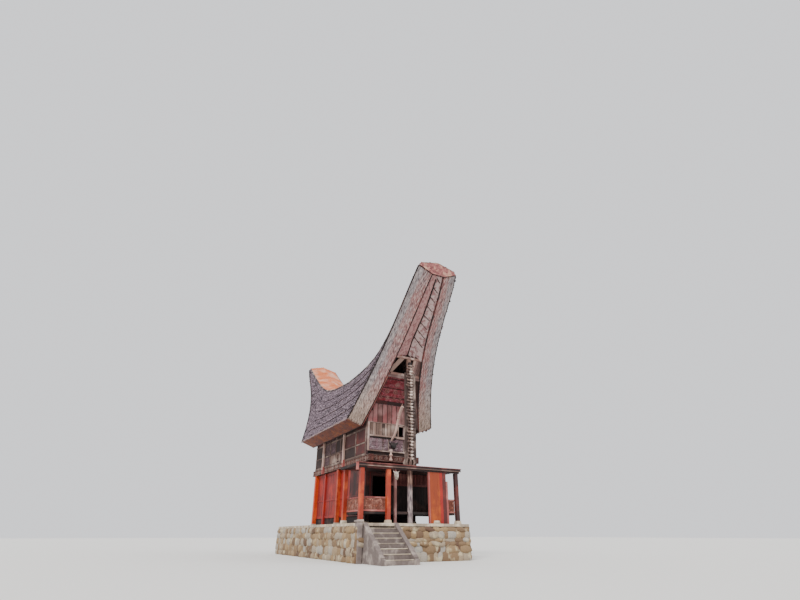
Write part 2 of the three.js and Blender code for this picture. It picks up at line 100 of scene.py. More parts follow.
def tint(part, shade):
    """Write how light each point is for its material; shade is a number or a rule on the place."""
    values = part.data.attributes.new("shade", "FLOAT", "POINT").data
    if callable(shade):
        values.foreach_set("value", [shade(vertex.co) for vertex in part.data.vertices])
    else:
        values.foreach_set("value", [shade] * len(values))


def copy_of(shape, shade):
    """A copy with its own mesh and its own shade."""
    part = bpy.data.objects.new(shape.name, shape.data.copy())
    bpy.context.scene.collection.objects.link(part)
    tint(part, shade)
    return part


def placed(shape, matrix, shade=0.5):
    part = copy_of(shape, shade)
    part.data.transform(matrix)
    return part


def stretched(block, low, high, shade=0.5, matrix=None):
    """A copy of a block between two corners, with its bevels kept as they are."""
    part = copy_of(block, shade)
    for vertex in part.data.vertices:
        for axis in range(3):
            at = vertex.co[axis]
            vertex.co[axis] = high[axis] - (0.5 - at) if at > 0 else low[axis] + (0.5 + at)
    if matrix:
        part.data.transform(matrix)
    return part


def boards_on(block, axis, face, direction):
    """A function that lays a board on an upright wall: its two ends, its foot, top and thickness."""
    def board(start, stop, bottom, top, thick, shade=0.5, off=0.0):
        near, far = sorted((face + direction * off, face + direction * (off + thick)))
        if axis == "x":
            return stretched(block, (near, start, bottom), (far, stop, top), shade)
        return stretched(block, (start, near, bottom), (stop, far, top), shade)
    return board


def poles(lines, radius, shade=0.5, sides=6, taper=None):
    """Round poles along lines of points, modelled as one bevelled curve and made a mesh."""
    curve = bpy.data.curves.new("poles", "CURVE")
    curve.dimensions = "3D"
    curve.bevel_depth = radius
    curve.bevel_resolution = (sides - 4) // 2
    curve.use_fill_caps = True
    for line in lines:
        spline = curve.splines.new("POLY")
        spline.points.add(len(line) - 1)
        for index, (point, place) in enumerate(zip(spline.points, line)):
            point.co = (*place, 1)
            point.radius = taper(index / (len(line) - 1)) if taper else 1
    shape = bpy.data.objects.new("poles", curve)
    bpy.context.scene.collection.objects.link(shape)
    bpy.ops.object.select_all(action="DESELECT")
    shape.select_set(True)
    bpy.context.view_layer.objects.active = shape
    bpy.ops.object.convert(target="MESH")
    tint(shape, shade)
    return shape


def finish_piece(name, parts, surface, replaces=(), smooth=None):
    """Join the parts into one named piece of the house and put it on the house's body."""
    bpy.ops.object.select_all(action="DESELECT")
    for part in parts:
        part.select_set(True)
    bpy.context.view_layer.objects.active = parts[0]
    if len(parts) > 1:
        bpy.ops.object.join()
    piece = bpy.context.view_layer.objects.active
    piece.name = name
    piece.data.materials.clear()
    piece.data.materials.append(MATERIALS[surface])
    if smooth:
        bpy.ops.object.shade_smooth_by_angle(angle=math.radians(smooth))
    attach(piece, "root")
    if replaces:
        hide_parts(*replaces)
    return piece


def paint_nodes(surface, *starts):
    """Give every CAD node whose name begins so its material."""
    for name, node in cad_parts.items():
        if name.startswith(starts):
            node.data.materials.clear()
            node.data.materials.append(MATERIALS[surface])


def steps_between(start, end, spacing):
    """Evenly spread places from start to end, about one spacing apart."""
    count = max(1, round(abs(end - start) / spacing))
    return [start + (end - start) * index / count for index in range(count + 1)]


def spans_between(start, end, width):
    """The two edges of each board or slab in a row, each about one width wide."""
    edges = steps_between(start, end, width)
    return list(zip(edges, edges[1:]))


# The roof's shape, read from the frame


def roof_sections(side):
    """Cross-sections of a roof leaf, one for each station along it, as named points."""
    stations = {}
    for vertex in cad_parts[f"roof_leaf_{side}"].data.vertices:
        stations.setdefault(round(vertex.co.y, 3), []).append(vertex.co.copy())
    sections = []
    for y in sorted(stations):
        points = stations[y]
        top = max(point.z for point in points) - 0.001
        sections.append({
            "ridge": max((point for point in points if point.z > top), key=lambda p: abs(p.x)),
            "edge": max(points, key=lambda p: abs(p.x)),
            "inner_edge": min(points, key=lambda p: p.z),
            "inner_top": min(points, key=lambda p: abs(p.x)),
        })
    return sections


def place_between(ys, y):
    """The step of a rising list that y falls in, and how far along that step it is."""
    index = min(max(bisect.bisect_right(ys, y) - 1, 0), len(ys) - 2)
    return index, (y - ys[index]) / (ys[index + 1] - ys[index])


def section_at(sections, y):
    index, share = place_between([section["edge"].y for section in sections], y)
    before, after = sections[index], sections[index + 1]
    return {key: before[key].lerp(after[key], share) for key in before}


ROOF = {side: roof_sections(side) for side in SIDES}
HORN_REACH = {"front": ROOF["left"][0]["edge"].y, "back": ROOF["left"][-1]["edge"].y}
EAVE_HALF_LENGTH = 4.35

# The CAD's leaf has this many courses, each sunk this far under the end of the one above it, or by
# this share of the slope where that is less
COURSES = 5
COURSE_LAP = 0.045
LAP_SHARE = 0.02

# How far a horn's boards stand over the roof's inner edge where they meet it
LINING_EDGE_LIFT = 0.04

# How far the ridge sheet's edges stand over the leaves
SHEET_LIFT = 0.12


def inner_half_width(at):
    """Half the gap between the roof's inner faces at a point."""
    section = section_at(ROOF["right"], at.y)
    low, high = section["inner_edge"], section["inner_top"]
    return low.x - (at.z - low.z) / (high.z - low.z) * (low.x - high.x)


def inner_edge_at(y):
    return section_at(ROOF["right"], y)["inner_edge"]


def inner_height(x, y):
    """Height of the roof's inner face over a point."""
    section = section_at(ROOF["right"], y)
    low, high = section["inner_edge"], section["inner_top"]
    return low.z + (low.x - abs(x)) / (low.x - high.x) * (high.z - low.z)


def lining_height(end, x, y):
    """Height of the underside of a horn's boards, a shallow V whose middle is read from the node."""
    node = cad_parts[f"horn_soffit_{end}"]
    middle = sorted({(round(v.co.y, 3), v.co.z) for v in node.data.vertices if abs(v.co.x) < 0.001})
    lows = {}
    for place, z in middle:
        lows[place] = min(z, lows.get(place, z))
    ys = sorted(lows)
    index, share = place_between(ys, y)
    apex = lows[ys[index]] + share * (lows[ys[index + 1]] - lows[ys[index]])
    edge = inner_edge_at(y)
    return apex + (edge.z + LINING_EDGE_LIFT - apex) * abs(x) / edge.x


# Sizes and colours that a user may change


def linear(hex_colour):
    """A '#rrggbb' colour in the linear values that shaders and colour properties use."""
    def channel(part):
        value = int(part, 16) / 255
        return value / 12.92 if value <= 0.04045 else ((value + 0.055) / 1.055) ** 2.4
    return tuple(channel(hex_colour[at:at + 2]) for at in (1, 3, 5))


def length(name, description, default):
    return bpy.props.FloatProperty(
        name=name, description=description, default=default, min=0.005, unit="LENGTH", subtype="DISTANCE"
    )


def colour(name, description, default):
    return bpy.props.FloatVectorProperty(
        name=name, description=description, default=linear(default), size=3, min=0, max=1, subtype="COLOR"
    )


class HouseRoofSettings(bpy.types.PropertyGroup):
    split_width: length("Split width", "Width of one split of bamboo on the slopes", 0.1)
    row_length: length("Row length", "Length of bamboo that shows in each row", 0.3)
    ragged: length("Ragged ends", "How far the splits' ends stray up or down", 0.13)
    pole_count: bpy.props.IntProperty(
        name="Edge poles", description="Layers of bamboo that show in a verge or eave", default=15, min=3
    )
    rung_spacing: length("Rung spacing", "Distance between the battens under the horns", 0.4)


class HouseWallSettings(bpy.types.PropertyGroup):
    board_width: length("Board width", "Width of a board of the lower storey", 0.2)
    board_gap: length("Board gap", "Dark joint between two boards", 0.016)
    board_proud: length("Board thickness", "How far the boards stand out from the wall", 0.024)
    plank_width: length("Plank width", "Width of the faded planks under the gables", 0.33)
    pilaster_width: length("Pilaster width", "Width of the upright strips of the upper walls", 0.14)
    slat_width: length("Slat width", "Width of the faded slats right of the doorway", 0.06)


class HouseStoneSettings(bpy.types.PropertyGroup):
    stone_length: length("Stone length", "Usual length of a stone in the plinth's face", 0.42)
    stone_height: length("Stone height", "Usual height of a course of stones", 0.29)
    coping_width: length("Coping width", "Width of the slabs round the plinth's top", 0.34)
    coping_height: length("Coping height", "Thickness of the slabs round the plinth's top", 0.13)
    footing_height: length("Footing height", "Height of the stone under each post", 0.17)


class HouseCarvingSettings(bpy.types.PropertyGroup):
    horn_pairs: bpy.props.IntProperty(
        name="Horn pairs", description="Pairs of buffalo horns on the front pillar", default=31, min=2
    )
    horn_spread: length("Horn spread", "Width of a pair of horns from tip to tip", 0.48)
    scale_size: length("Scale size", "Width of one scale on the horn's end boards", 0.15)


class HousePaintSettings(bpy.types.PropertyGroup):
    bamboo_dark: colour("Dark bamboo", "Shaded or mossy splits", "#2c2127")
    bamboo_light: colour("Light bamboo", "Weathered splits", "#6d5b64")
    verge: colour("Verge", "Sawn layers along the verges", "#989193")
    eave: colour("Eave", "Rusty underside of the eaves", "#8c5030")
    sheet: colour("Ridge sheet", "Rusted sheet on the ridge", "#cf6f3c")
    gable: colour("Gable", "Maroon boards of the gable", "#8e2432")
    red: colour("Red paint", "Boards of the lower storey", "#8c0e00")
    orange: colour("Orange paint", "Posts", "#b43804")
    carved: colour("Carved boards", "Weathered carved panels", "#7f5f66")
    stone: colour("Stone", "Rubble of the plinth", "#957b58")


# Materials


class Finish:
    """One material: its nodes, its shader, and the coordinates that its patterns read."""

    def __init__(self, name, roughness, metallic=0.0):
        self.material = bpy.data.materials.new(name)
        self.material.use_nodes = True
        self.tree = self.material.node_tree
        self.shader = self.tree.nodes["Principled BSDF"]
        self.shader.inputs["Roughness"].default_value = roughness
        self.shader.inputs["Metallic"].default_value = metallic
        self.place = self.add("TexCoord").outputs["Object"]
        self.shade = self.add("Attribute", attribute_name="shade").outputs["Fac"]

    def add(self, kind, inputs=None, **settings):
        """Add a node; inputs are values or other nodes' outputs, by socket name or number."""
        node = self.tree.nodes.new("ShaderNode" + kind)
        for name, value in settings.items():
            setattr(node, name, value)
        for key, value in (inputs or {}).items():
            if isinstance(value, bpy.types.NodeSocket):
                self.tree.links.new(value, node.inputs[key])
            else:
                node.inputs[key].default_value = value
        return node

    def close(self, base, height=None, distance=0.01):
        """Join the patterns to the shader."""
        self.tree.links.new(base, self.shader.inputs["Base Color"])
        if height:
            bump = self.add("Bump", {"Height": height, "Distance": distance, "Strength": 1.0})
            self.tree.links.new(bump.outputs["Normal"], self.shader.inputs["Normal"])
        return self.material


def rgba(value):
    return (*(linear(value) if isinstance(value, str) else value), 1)


def worn_surface(name, base, dark, light, roughness=0.8, grain=(40, 40, 3), patch=1.2, bump=0.004,
                 metallic=0.0):
    """Weathered stuff in three tones: patches of wear, a fine directional grain, a tone for each copy.

    grain is how often the grain repeats in a metre along each axis, patch how often the wear does.
    """
    made = Finish(name, roughness, metallic)
    stretch = made.add("Mapping", {"Vector": made.place, "Scale": grain}).outputs["Vector"]
    fine = made.add("TexNoise", {"Vector": stretch, "Scale": 1.0, "Detail": 5.0}).outputs["Fac"]
    wear = made.add("TexNoise", {"Vector": made.place, "Scale": patch, "Detail": 6.0}).outputs["Fac"]
    tone = made.add("Math", {0: made.shade, 1: fine}, operation="ADD").outputs[0]
    tone = made.add("MapRange", {"Value": tone, "From Min": 0.4, "From Max": 1.6}).outputs[0]
    body = made.add("Mix", {0: tone, 6: rgba(dark), 7: rgba(base)}, data_type="RGBA").outputs[2]
    worn = made.add("MapRange", {"Value": wear, "From Min": 0.5, "From Max": 0.72}).outputs[0]
    both = made.add("Mix", {0: worn, 6: body, 7: rgba(light)}, data_type="RGBA").outputs[2]
    return made.close(both, fine, bump)


def weathered_bamboo(paint):
    """Split bamboo gone purple-grey in the rain, with darker mossy splits and pale dry ones."""
    made = Finish("weathered_bamboo_splits", roughness=0.92)
    patch = made.add("TexNoise", {"Vector": made.place, "Scale": 0.8, "Detail": 5.0}).outputs["Fac"]
    tone = made.add("Math", {0: made.shade, 1: patch}, operation="ADD").outputs[0]
    tone = made.add("MapRange", {"Value": tone, "From Min": 0.6, "From Max": 1.3}).outputs[0]
    grey = made.add("Mix", {0: tone, 6: rgba(paint.bamboo_dark), 7: rgba(paint.bamboo_light)},
                    data_type="RGBA").outputs[2]
    # Broken ends and tufts of moss, 40 to 80 mm across
    tuft = made.add("TexNoise", {"Vector": made.place, "Scale": 13.0, "Detail": 4.0}).outputs["Fac"]
    dry = made.add("MapRange", {"Value": tuft, "From Min": 0.53, "From Max": 0.62, "To Max": 0.75})
    lit = made.add("Mix", {0: dry.outputs[0], 6: grey, 7: rgba("#a5929b")}, data_type="RGBA").outputs[2]
    moss = made.add("MapRange", {"Value": tuft, "From Min": 0.46, "From Max": 0.38, "To Max": 0.85})
    both = made.add("Mix", {0: moss.outputs[0], 6: lit, 7: rgba("#241c22")}, data_type="RGBA")
    return made.close(both.outputs[2], tuft, distance=0.02)


def layered_bamboo(paint):
    """Sawn layers of bamboo: silver-grey to pinkish across the verges, rusty brown under the eaves.

    The shade runs from 0 at the outer edge to 1 at the inner one.
    """
    made = Finish("layered_bamboo_edge", roughness=0.85)
    along = made.add("SeparateXYZ", {"Vector": made.place}).outputs["Y"]
    out = made.add("Math", {0: along}, operation="ABSOLUTE").outputs[0]
    verge = made.add("MapRange", {"Value": out, "From Min": 4.3, "From Max": 4.42}).outputs[0]
    foot = made.add("MapRange", {"Value": out, "From Min": 4.5, "From Max": 5.8}).outputs[0]
    # Layers 30 mm thick, seen as streaks 0.25 m long, and the cut ends of splits between them
    lie = made.add("Mapping", {"Vector": made.place, "Scale": (34, 4, 4)}).outputs["Vector"]
    fleck = made.add("TexNoise", {"Vector": lie, "Scale": 1.0, "Detail": 7.0}).outputs["Fac"]
    patch = made.add("TexNoise", {"Vector": made.place, "Scale": 1.6, "Detail": 5.0}).outputs["Fac"]
    inward = made.add("Math", {0: made.shade, 1: patch}, operation="ADD").outputs[0]
    inward = made.add("MapRange", {"Value": inward, "From Min": 0.75, "From Max": 1.3}).outputs[0]
    upper = made.add("Mix", {0: inward, 6: rgba(paint.verge), 7: rgba("#a4726e")}, data_type="RGBA")
    grey = made.add("Mix", {0: foot, 6: rgba("#b8a292"), 7: upper.outputs[2]}, data_type="RGBA").outputs[2]
    rust = made.add("MapRange", {"Value": patch, "From Min": 0.4, "From Max": 0.65}).outputs[0]
    brown = made.add("Mix", {0: rust, 6: rgba("#6f3f35"), 7: rgba(paint.eave)}, data_type="RGBA").outputs[2]
    base = made.add("Mix", {0: verge, 6: brown, 7: grey}, data_type="RGBA").outputs[2]
    worn = made.add("MapRange", {"Value": fleck, "From Min": 0.52, "From Max": 0.64, "To Max": 0.7})
    worn = made.add("Math", {0: worn.outputs[0], 1: verge}, operation="MULTIPLY").outputs[0]
    lit = made.add("Mix", {0: worn, 6: base, 7: rgba("#d0c0b8")}, data_type="RGBA").outputs[2]
    dirt = made.add("MapRange", {"Value": fleck, "From Min": 0.5, "From Max": 0.38, "To Max": 0.9})
    both = made.add("Mix", {0: dirt.outputs[0], 6: lit, 7: rgba("#4f3c3c")}, data_type="RGBA")
    return made.close(both.outputs[2], fleck, distance=0.02)


def horn_lining():
    """Thin boards under the horns: old pink limewash on one side, worn to grey wood on the other."""
    made = Finish("limewashed_lining_boards", roughness=0.85)
    across = made.add("SeparateXYZ", {"Vector": made.place}).outputs["X"]
    side = made.add("MapRange", {"Value": across, "From Min": -0.05, "From Max": 0.05}).outputs[0]
    spot = made.add("TexNoise", {"Vector": made.place, "Scale": 5.0, "Detail": 7.0}).outputs["Fac"]
    # Grain 20 mm apart across the boards, which run from the ridge beam to the verge
    lay = made.add("Mapping", {"Vector": made.place, "Scale": (4, 50, 30)}).outputs["Vector"]
    grain = made.add("TexNoise", {"Vector": lay, "Scale": 1.0, "Detail": 4.0}).outputs["Fac"]
    base = made.add("Mix", {0: side, 6: rgba("#a37a77"), 7: rgba("#b39a97")}, data_type="RGBA").outputs[2]
    worn = made.add("MapRange", {"Value": spot, "From Min": 0.48, "From Max": 0.6, "To Max": 0.8})
    spotted = made.add("Mix", {0: worn.outputs[0], 6: base, 7: rgba("#7d4f50")}, data_type="RGBA")
    lines = made.add("MapRange", {"Value": grain, "From Min": 0.55, "From Max": 0.7, "To Max": 0.5})
    both = made.add("Mix", {0: lines.outputs[0], 6: spotted.outputs[2], 7: rgba("#6b5a56")},
                    data_type="RGBA")
    return made.close(both.outputs[2], grain, distance=0.006)


def carved_boards(name, base, groove, accent, tile=0.42):
    """Painted boards carved all over with rings in squares, the grooves dark and the paint rubbed.

    The square is tile metres wide. Rings and a lattice stand for the traditional sun and cross patterns.
    """
    made = Finish(name, roughness=0.82)
    parts = made.add("SeparateXYZ", {"Vector": made.place})
    across = made.add("Math", {0: parts.outputs["X"], 1: parts.outputs["Y"]}, operation="ADD").outputs[0]
    flat = made.add("CombineXYZ", {"X": across, "Y": parts.outputs["Z"]}).outputs[0]
    squares = made.add("VectorMath", {0: flat, 1: (1 / tile, 1 / tile, 1)}, operation="MULTIPLY")
    cell = made.add("VectorMath", {0: squares.outputs[0]}, operation="FRACTION")
    centred = made.add("VectorMath", {0: cell.outputs[0], 1: (0.5, 0.5, 0)}, operation="SUBTRACT")
    distance = made.add("VectorMath", {0: centred.outputs[0]}, operation="LENGTH").outputs["Value"]
    turns = made.add("Math", {0: distance, 1: 52.0}, operation="MULTIPLY").outputs[0]
    rings = made.add("Math", {0: turns}, operation="SINE").outputs[0]
    lattice = made.add("TexVoronoi", {"Vector": flat, "Scale": 9.0}, feature="DISTANCE_TO_EDGE")
    net = made.add("MapRange", {"Value": lattice.outputs["Distance"], "From Min": 0.02, "From Max": 0.12})
    relief = made.add("MapRange", {"Value": rings, "From Min": -0.5, "From Max": 0.3}).outputs[0]
    inside = made.add("MapRange", {"Value": distance, "From Min": 0.4, "From Max": 0.46}).outputs[0]
    height = made.add("Mix", {0: inside, 2: relief, 3: net.outputs[0]}, data_type="FLOAT").outputs[0]
    wear = made.add("TexNoise", {"Vector": made.place, "Scale": 5.0, "Detail": 7.0}).outputs["Fac"]
    rubbed = made.add("MapRange", {"Value": wear, "From Min": 0.42, "From Max": 0.66}).outputs[0]
    face = made.add("Mix", {0: rubbed, 6: rgba(base), 7: rgba(accent)}, data_type="RGBA").outputs[2]
    both = made.add("Mix", {0: height, 6: rgba(groove), 7: face}, data_type="RGBA").outputs[2]
    return made.close(both, height, distance=0.008)


def rusted_sheet(paint):
    """Galvanised sheet rusted to peach and orange, corrugated across the ridge every 50 mm."""
    made = Finish("rusted_corrugated_sheet", roughness=0.55, metallic=0.15)
    wave = made.add("TexWave", {"Vector": made.place, "Scale": 6.3, "Distortion": 0.0},
                    bands_direction="X").outputs["Fac"]
    patch = made.add("TexNoise", {"Vector": made.place, "Scale": 1.1, "Detail": 8.0}).outputs["Fac"]
    fine = made.add("TexNoise", {"Vector": made.place, "Scale": 12.0, "Detail": 6.0}).outputs["Fac"]
    pale = made.add("MapRange", {"Value": patch, "From Min": 0.42, "From Max": 0.62}).outputs[0]
    base = made.add("Mix", {0: pale, 6: rgba(paint.sheet), 7: rgba("#dfa588")}, data_type="RGBA")
    deep = made.add("MapRange", {"Value": fine, "From Min": 0.5, "From Max": 0.75}).outputs[0]
    both = made.add("Mix", {0: deep, 6: base.outputs[2], 7: rgba("#b5643c")}, data_type="RGBA")
    return made.close(both.outputs[2], wave, distance=0.012)


def mixed_stone(paint):
    """Tan, grey and russet field stone, each stone its own tone, with lichen and grit."""
    made = Finish("rubble_field_stone", roughness=0.95)
    grit = made.add("TexNoise", {"Vector": made.place, "Scale": 38.0, "Detail": 8.0}).outputs["Fac"]
    patch = made.add("TexNoise", {"Vector": made.place, "Scale": 3.0, "Detail": 6.0}).outputs["Fac"]
    low = made.add("MapRange", {"Value": made.shade, "From Max": 0.5}).outputs[0]
    high = made.add("MapRange", {"Value": made.shade, "From Min": 0.5, "From Max": 1.0}).outputs[0]
    warm = made.add("Mix", {0: low, 6: rgba("#5c4334"), 7: rgba(paint.stone)}, data_type="RGBA").outputs[2]
    tone = made.add("Mix", {0: high, 6: warm, 7: rgba("#9a948b")}, data_type="RGBA").outputs[2]
    lichen = made.add("MapRange", {"Value": patch, "From Min": 0.55, "From Max": 0.66, "To Max": 0.7})
    grey = made.add("Mix", {0: lichen.outputs[0], 6: tone, 7: rgba("#c0b18f")}, data_type="RGBA")
    dots = made.add("MapRange", {"Value": grit, "From Min": 0.5, "From Max": 0.7, "To Max": 0.5})
    both = made.add("Mix", {0: dots.outputs[0], 6: grey.outputs[2], 7: rgba("#4f4433")},
                    data_type="RGBA")
    return made.close(both.outputs[2], grit, distance=0.012)


def pillar_wood():
    """A barked trunk: whitish and lichened to half the height of the porch, dark red-brown above."""
    made = Finish("weathered_round_trunk", roughness=0.88)
    height = made.add("SeparateXYZ", {"Vector": made.place}).outputs["Z"]
    # Bark ridges 55 mm apart round the trunk
    ridges = made.add("Mapping", {"Vector": made.place, "Scale": (18, 18, 3)}).outputs["Vector"]
    bark = made.add("TexNoise", {"Vector": ridges, "Scale": 1.0, "Detail": 7.0}).outputs["Fac"]
    blotch = made.add("Math", {0: bark, 1: 0.8, 2: height}, operation="MULTIPLY_ADD").outputs[0]
    upper = made.add("MapRange", {"Value": blotch, "From Min": 3.7, "From Max": 4.0}).outputs[0]
    pale = made.add("MapRange", {"Value": bark, "From Min": 0.4, "From Max": 0.6}).outputs[0]
    low = made.add("Mix", {0: pale, 6: rgba("#52454a"), 7: rgba("#9d8d88")}, data_type="RGBA").outputs[2]
    high = made.add("Mix", {0: pale, 6: rgba("#3d2420"), 7: rgba("#8a6a5c")}, data_type="RGBA").outputs[2]
    both = made.add("Mix", {0: upper, 6: low, 7: high}, data_type="RGBA").outputs[2]
    return made.close(both, bark, distance=0.015)


MATERIALS = {}


def make_materials(paint):
    MATERIALS.update({
        "bamboo": weathered_bamboo(paint),
        "layers": layered_bamboo(paint),
        "lining": horn_lining(),
        "sheet": rusted_sheet(paint),
        "stone": mixed_stone(paint),
        "trunk": pillar_wood(),
        # Carved softwood with most of its earth paint gone, so the wood shows mauve-grey
        "carved": carved_boards("carved_weathered_boards", paint.carved, "#35252a", "#a08b8e"),
        # The same boards darkened as painted shade under the eaves
        "eave_shaded": carved_boards("carved_boards_eave_shade", "#4e3236", "#180d0f", "#745659"),
        # Earth paint under a deep roof, so its maroon is still strong
        "gable": carved_boards("carved_maroon_boards", paint.gable, "#521c22", "#b26870", tile=0.3),
        # Handled and rained on, so brown wood shows through the red
        "beam": carved_boards("carved_floor_beams", "#56251d", "#200d0a", "#7a4a3c", tile=0.35),
        # Thin paint gone mauve, in fine low relief
        "rail": carved_boards("carved_rail_panels", "#7e422f", "#401c16", "#a4705f", tile=0.28),
        # Brushed oil paint on sawn boards: satin, thin on the grain's crests
        "red": worn_surface("red_painted_boards", paint.red, "#4e0500", "#a62000", roughness=0.6,
                            grain=(30, 30, 2)),
        "orange": worn_surface("orange_painted_posts", paint.orange, "#801c00", "#cc5822", roughness=0.55,
                               grain=(30, 30, 2)),
        # The same paint darkened as painted shade in the porch, an ochre orange over brown
        "burnt": worn_surface("orange_posts_painted_shade", "#9c3c00", "#6a2200", "#b45404", roughness=0.65,
                              grain=(30, 30, 2)),
        # Maroon: painted shade by and under the porch and in shadow lines; dark red trim elsewhere
        "maroon": worn_surface("dark_maroon_boards", "#4b1714", "#1d0a08", "#6b2a22", roughness=0.7,
                               grain=(30, 30, 2)),
        # Planks that lost their paint in the rain: some still pink, some down to brown wood
        "faded": worn_surface("faded_red_planks", "#8f4f4f", "#57352f", "#a87d79", roughness=0.8,
                              grain=(35, 35, 2)),
        # Bare wood, greyed outdoors, with darker grain
        "grey": worn_surface("grey_weathered_boards", "#80665a", "#3b2a25", "#a08c80", roughness=0.85,
                             grain=(35, 35, 2)),
        "moulding": worn_surface("worn_mouldings", "#9c8074", "#5c463f", "#bba79c", roughness=0.8,
                                 grain=(30, 30, 3)),
        # Young wood without paint, still pale, with pinkish knots
        "pale": worn_surface("pale_bare_timber", "#c4a396", "#7d5a50", "#e2cdc2", roughness=0.8,
                             grain=(30, 30, 3)),
        # Soot and age have closed the grain; near-black also serves as painted shade in gaps and under the
        # house
        "dark": worn_surface("aged_timber_and_painted_shade", "#2e1a16", "#120908", "#4a332c", roughness=0.85,
                             grain=(30, 30, 3)),
        "soffit": worn_surface("soffit_boards", "#84655f", "#45312e", "#a58b85", roughness=0.85,
                               grain=(3, 26, 3)),
        # Cement render rubbed by feet: smooth at the nosings, stained between
        "concrete": worn_surface("worn_cast_concrete", "#8a7c76", "#625651", "#a89a90", roughness=0.9,
                                 grain=(9, 9, 9), patch=2.0),
        "coping": worn_surface("worn_coping_slabs", "#bcab92", "#87796a", "#d8cbb4", roughness=0.9,
                               grain=(9, 9, 9), patch=2.0),
        # Lean mortar behind the stones, rough and in shadow
        "mortar": worn_surface("dark_mortar_bed", "#4f4439", "#2f2821", "#6d604f", roughness=0.95,
                               grain=(8, 8, 8), patch=2.5, bump=0.01),
        # Horn polished by handling: pale where the horns cross, brown at the tips, slightly glossy
        "horn": worn_surface("buffalo_horn", "#cbb8ab", "#46302a", "#94776a", roughness=0.42,
                             grain=(25, 25, 25), patch=6.0, bump=0.002),
        # Blackened with soot, in which only the edges catch the light
        "black": worn_surface("blackened_carving", "#130c0b", "#060404", "#2a1815", roughness=0.7,
                              grain=(30, 30, 30), patch=4.0),
        # Sun-bleached bone, chalky, with painted shade in the skull's eye sockets and nose
        "bone": worn_surface("bleached_bone", "#b8aca0", "#857b6d", "#e6ddd2", roughness=0.7,
                             grain=(25, 25, 25), patch=7.0),
        # Pink limewash rubbed off the edges
        "edging": worn_surface("faded_pink_edging", "#9c5049", "#5f2724", "#b87d72", roughness=0.7,
                               grain=(20, 20, 5)),
        # Small shingles of split wood under old pink paint
        "scales": worn_surface("scaled_end_shingles", "#a2645e", "#632f30", "#c79d84", roughness=0.75,
                               grain=(12, 12, 12), patch=3.0),
        # Lead-grey flashing, dark where the moss holds, with a whitish bloom
        "flashing": worn_surface("grey_ridge_flashing", "#4d4246", "#2a2226", "#a8988f", roughness=0.6,
                                 grain=(8, 8, 8), patch=3.0, metallic=0.3),
    })


# Operators, one for each piece or group of like pieces


class HOUSE_OT_finishes(bpy.types.Operator):
    """Make the house's materials and put them on the CAD nodes that stay in view"""
    bl_idname = "house.add_finishes"
    bl_label = "Finishes"

    def execute(self, context):
        make_materials(context.scene.house_paint)
        paint_nodes("mortar", "plinth")
        paint_nodes("concrete", "front_steps")
        paint_nodes("soffit", "roof_leaf")
        paint_nodes("lining", "horn_soffit")
        paint_nodes("sheet", "ridge_cap")
        paint_nodes("gable", "gable_panel", "horn_cap")
        paint_nodes("red", "lower_wall", "lower_back")
        # The porch's walls, screen, canopy and beam in maroon as painted shade
        paint_nodes("maroon", "lower_front", "porch_screen", "porch_canopy", "porch_beam")
        paint_nodes("carved", "upper_wall_front", "upper_wall_back")
        # The side walls' carved boards, darkened as painted shade under the eaves
        paint_nodes("eave_shaded", "upper_wall_left", "upper_wall_right")
        paint_nodes("beam", "floor_beam", "carved_beam")
        paint_nodes("rail", "rail_")
        paint_nodes("trunk", "horn_pillar")
        paint_nodes("pale", "lower_tie", "upper_tie", "bird_carving")
        # The ridge beam in the roof's gap, the floors and the sleepers under the house: near-black partly as
        # painted shade
        paint_nodes("dark", "ridge_beam", "lower_floor", "upper_floor", "porch_deck", "floor_sleepers",
                    "buffalo_head")
        paint_nodes("orange", "house_post", "porch_post")
        return {"FINISHED"}


class HOUSE_OT_roof_slopes(bpy.types.Operator):
    """Lay rows of split bamboo over both outer slopes, two to each course of the leaf"""
    bl_idname = "house.add_roof_slopes"
    bl_label = "Roof slopes"

    def execute(self, context):
        sizes = context.scene.house_roof
        halved = {"plane_co": (0, 0, -0.1), "plane_no": (0, 0, 1), "clear_inner": True, "use_fill": True}
        split = model("cylinder", ("bisect", halved), vertices=8, radius=0.5, depth=1,
                      rotation=(math.pi / 2, 0, 0))
        chance = random.Random(11)
        spacing = sizes.split_width * 0.93
        for side, sign in SIDES.items():
            sections = ROOF[side]
            first, last = sections[0]["edge"].y + 0.06, sections[-1]["edge"].y - 0.06
            parts = []
            for y in steps_between(first, last, spacing):
                here, ahead = section_at(sections, y), section_at(sections, y + spacing)
                along = (ahead["edge"] + ahead["ridge"] - here["edge"] - here["ridge"]) / 2
                for start, stop in self.course_faces(here, sign):
                    down = (stop - start).normalized()
                    reach = (stop - start).length
                    across = along - along.project(down)
                    out = across.normalized().cross(down)
                    if out.x * sign < 0:
                        out.negate()
                    rows = max(1, round(reach / sizes.row_length))
                    for row in range(rows):
                        low = reach * (row + 1) / rows + chance.uniform(-0.5, 1) * sizes.ragged
                        high = max(low - reach / rows * 1.4, 0.0)
                        tilt = math.radians(chance.uniform(4, 8))
                        lie = down * math.cos(tilt) + out * math.sin(tilt)
                        rise = out * math.cos(tilt) - down * math.sin(tilt)
                        width = across * chance.uniform(1.0, 1.2)
                        matrix = Matrix((width, lie * (low - high), rise * 0.045)).transposed().to_4x4()
                        matrix.translation = start + down * (low + high) / 2 + out * 0.008
                        parts.append(placed(split, matrix, chance.random()))
            finish_piece(f"roof_courses_{side}", parts, "bamboo")
        discard(split)
        return {"FINISHED"}

    @staticmethod
    def course_faces(section, sign):
        """Where each course of the leaf starts and ends in a section; a short slope is one course."""
        ridge, edge = section["ridge"], section["edge"]
        down = edge - ridge
        if down.length < 1:
            return [(ridge, edge)]
        inward = Vector((sign * down.z, 0, -abs(down.x))).normalized()
        lap = inward * min(COURSE_LAP, LAP_SHARE * down.length)
        ends = [ridge.lerp(edge, course / COURSES) for course in range(COURSES + 1)]
        return [(start + lap if index else start, stop)
                for index, (start, stop) in enumerate(zip(ends, ends[1:]))]


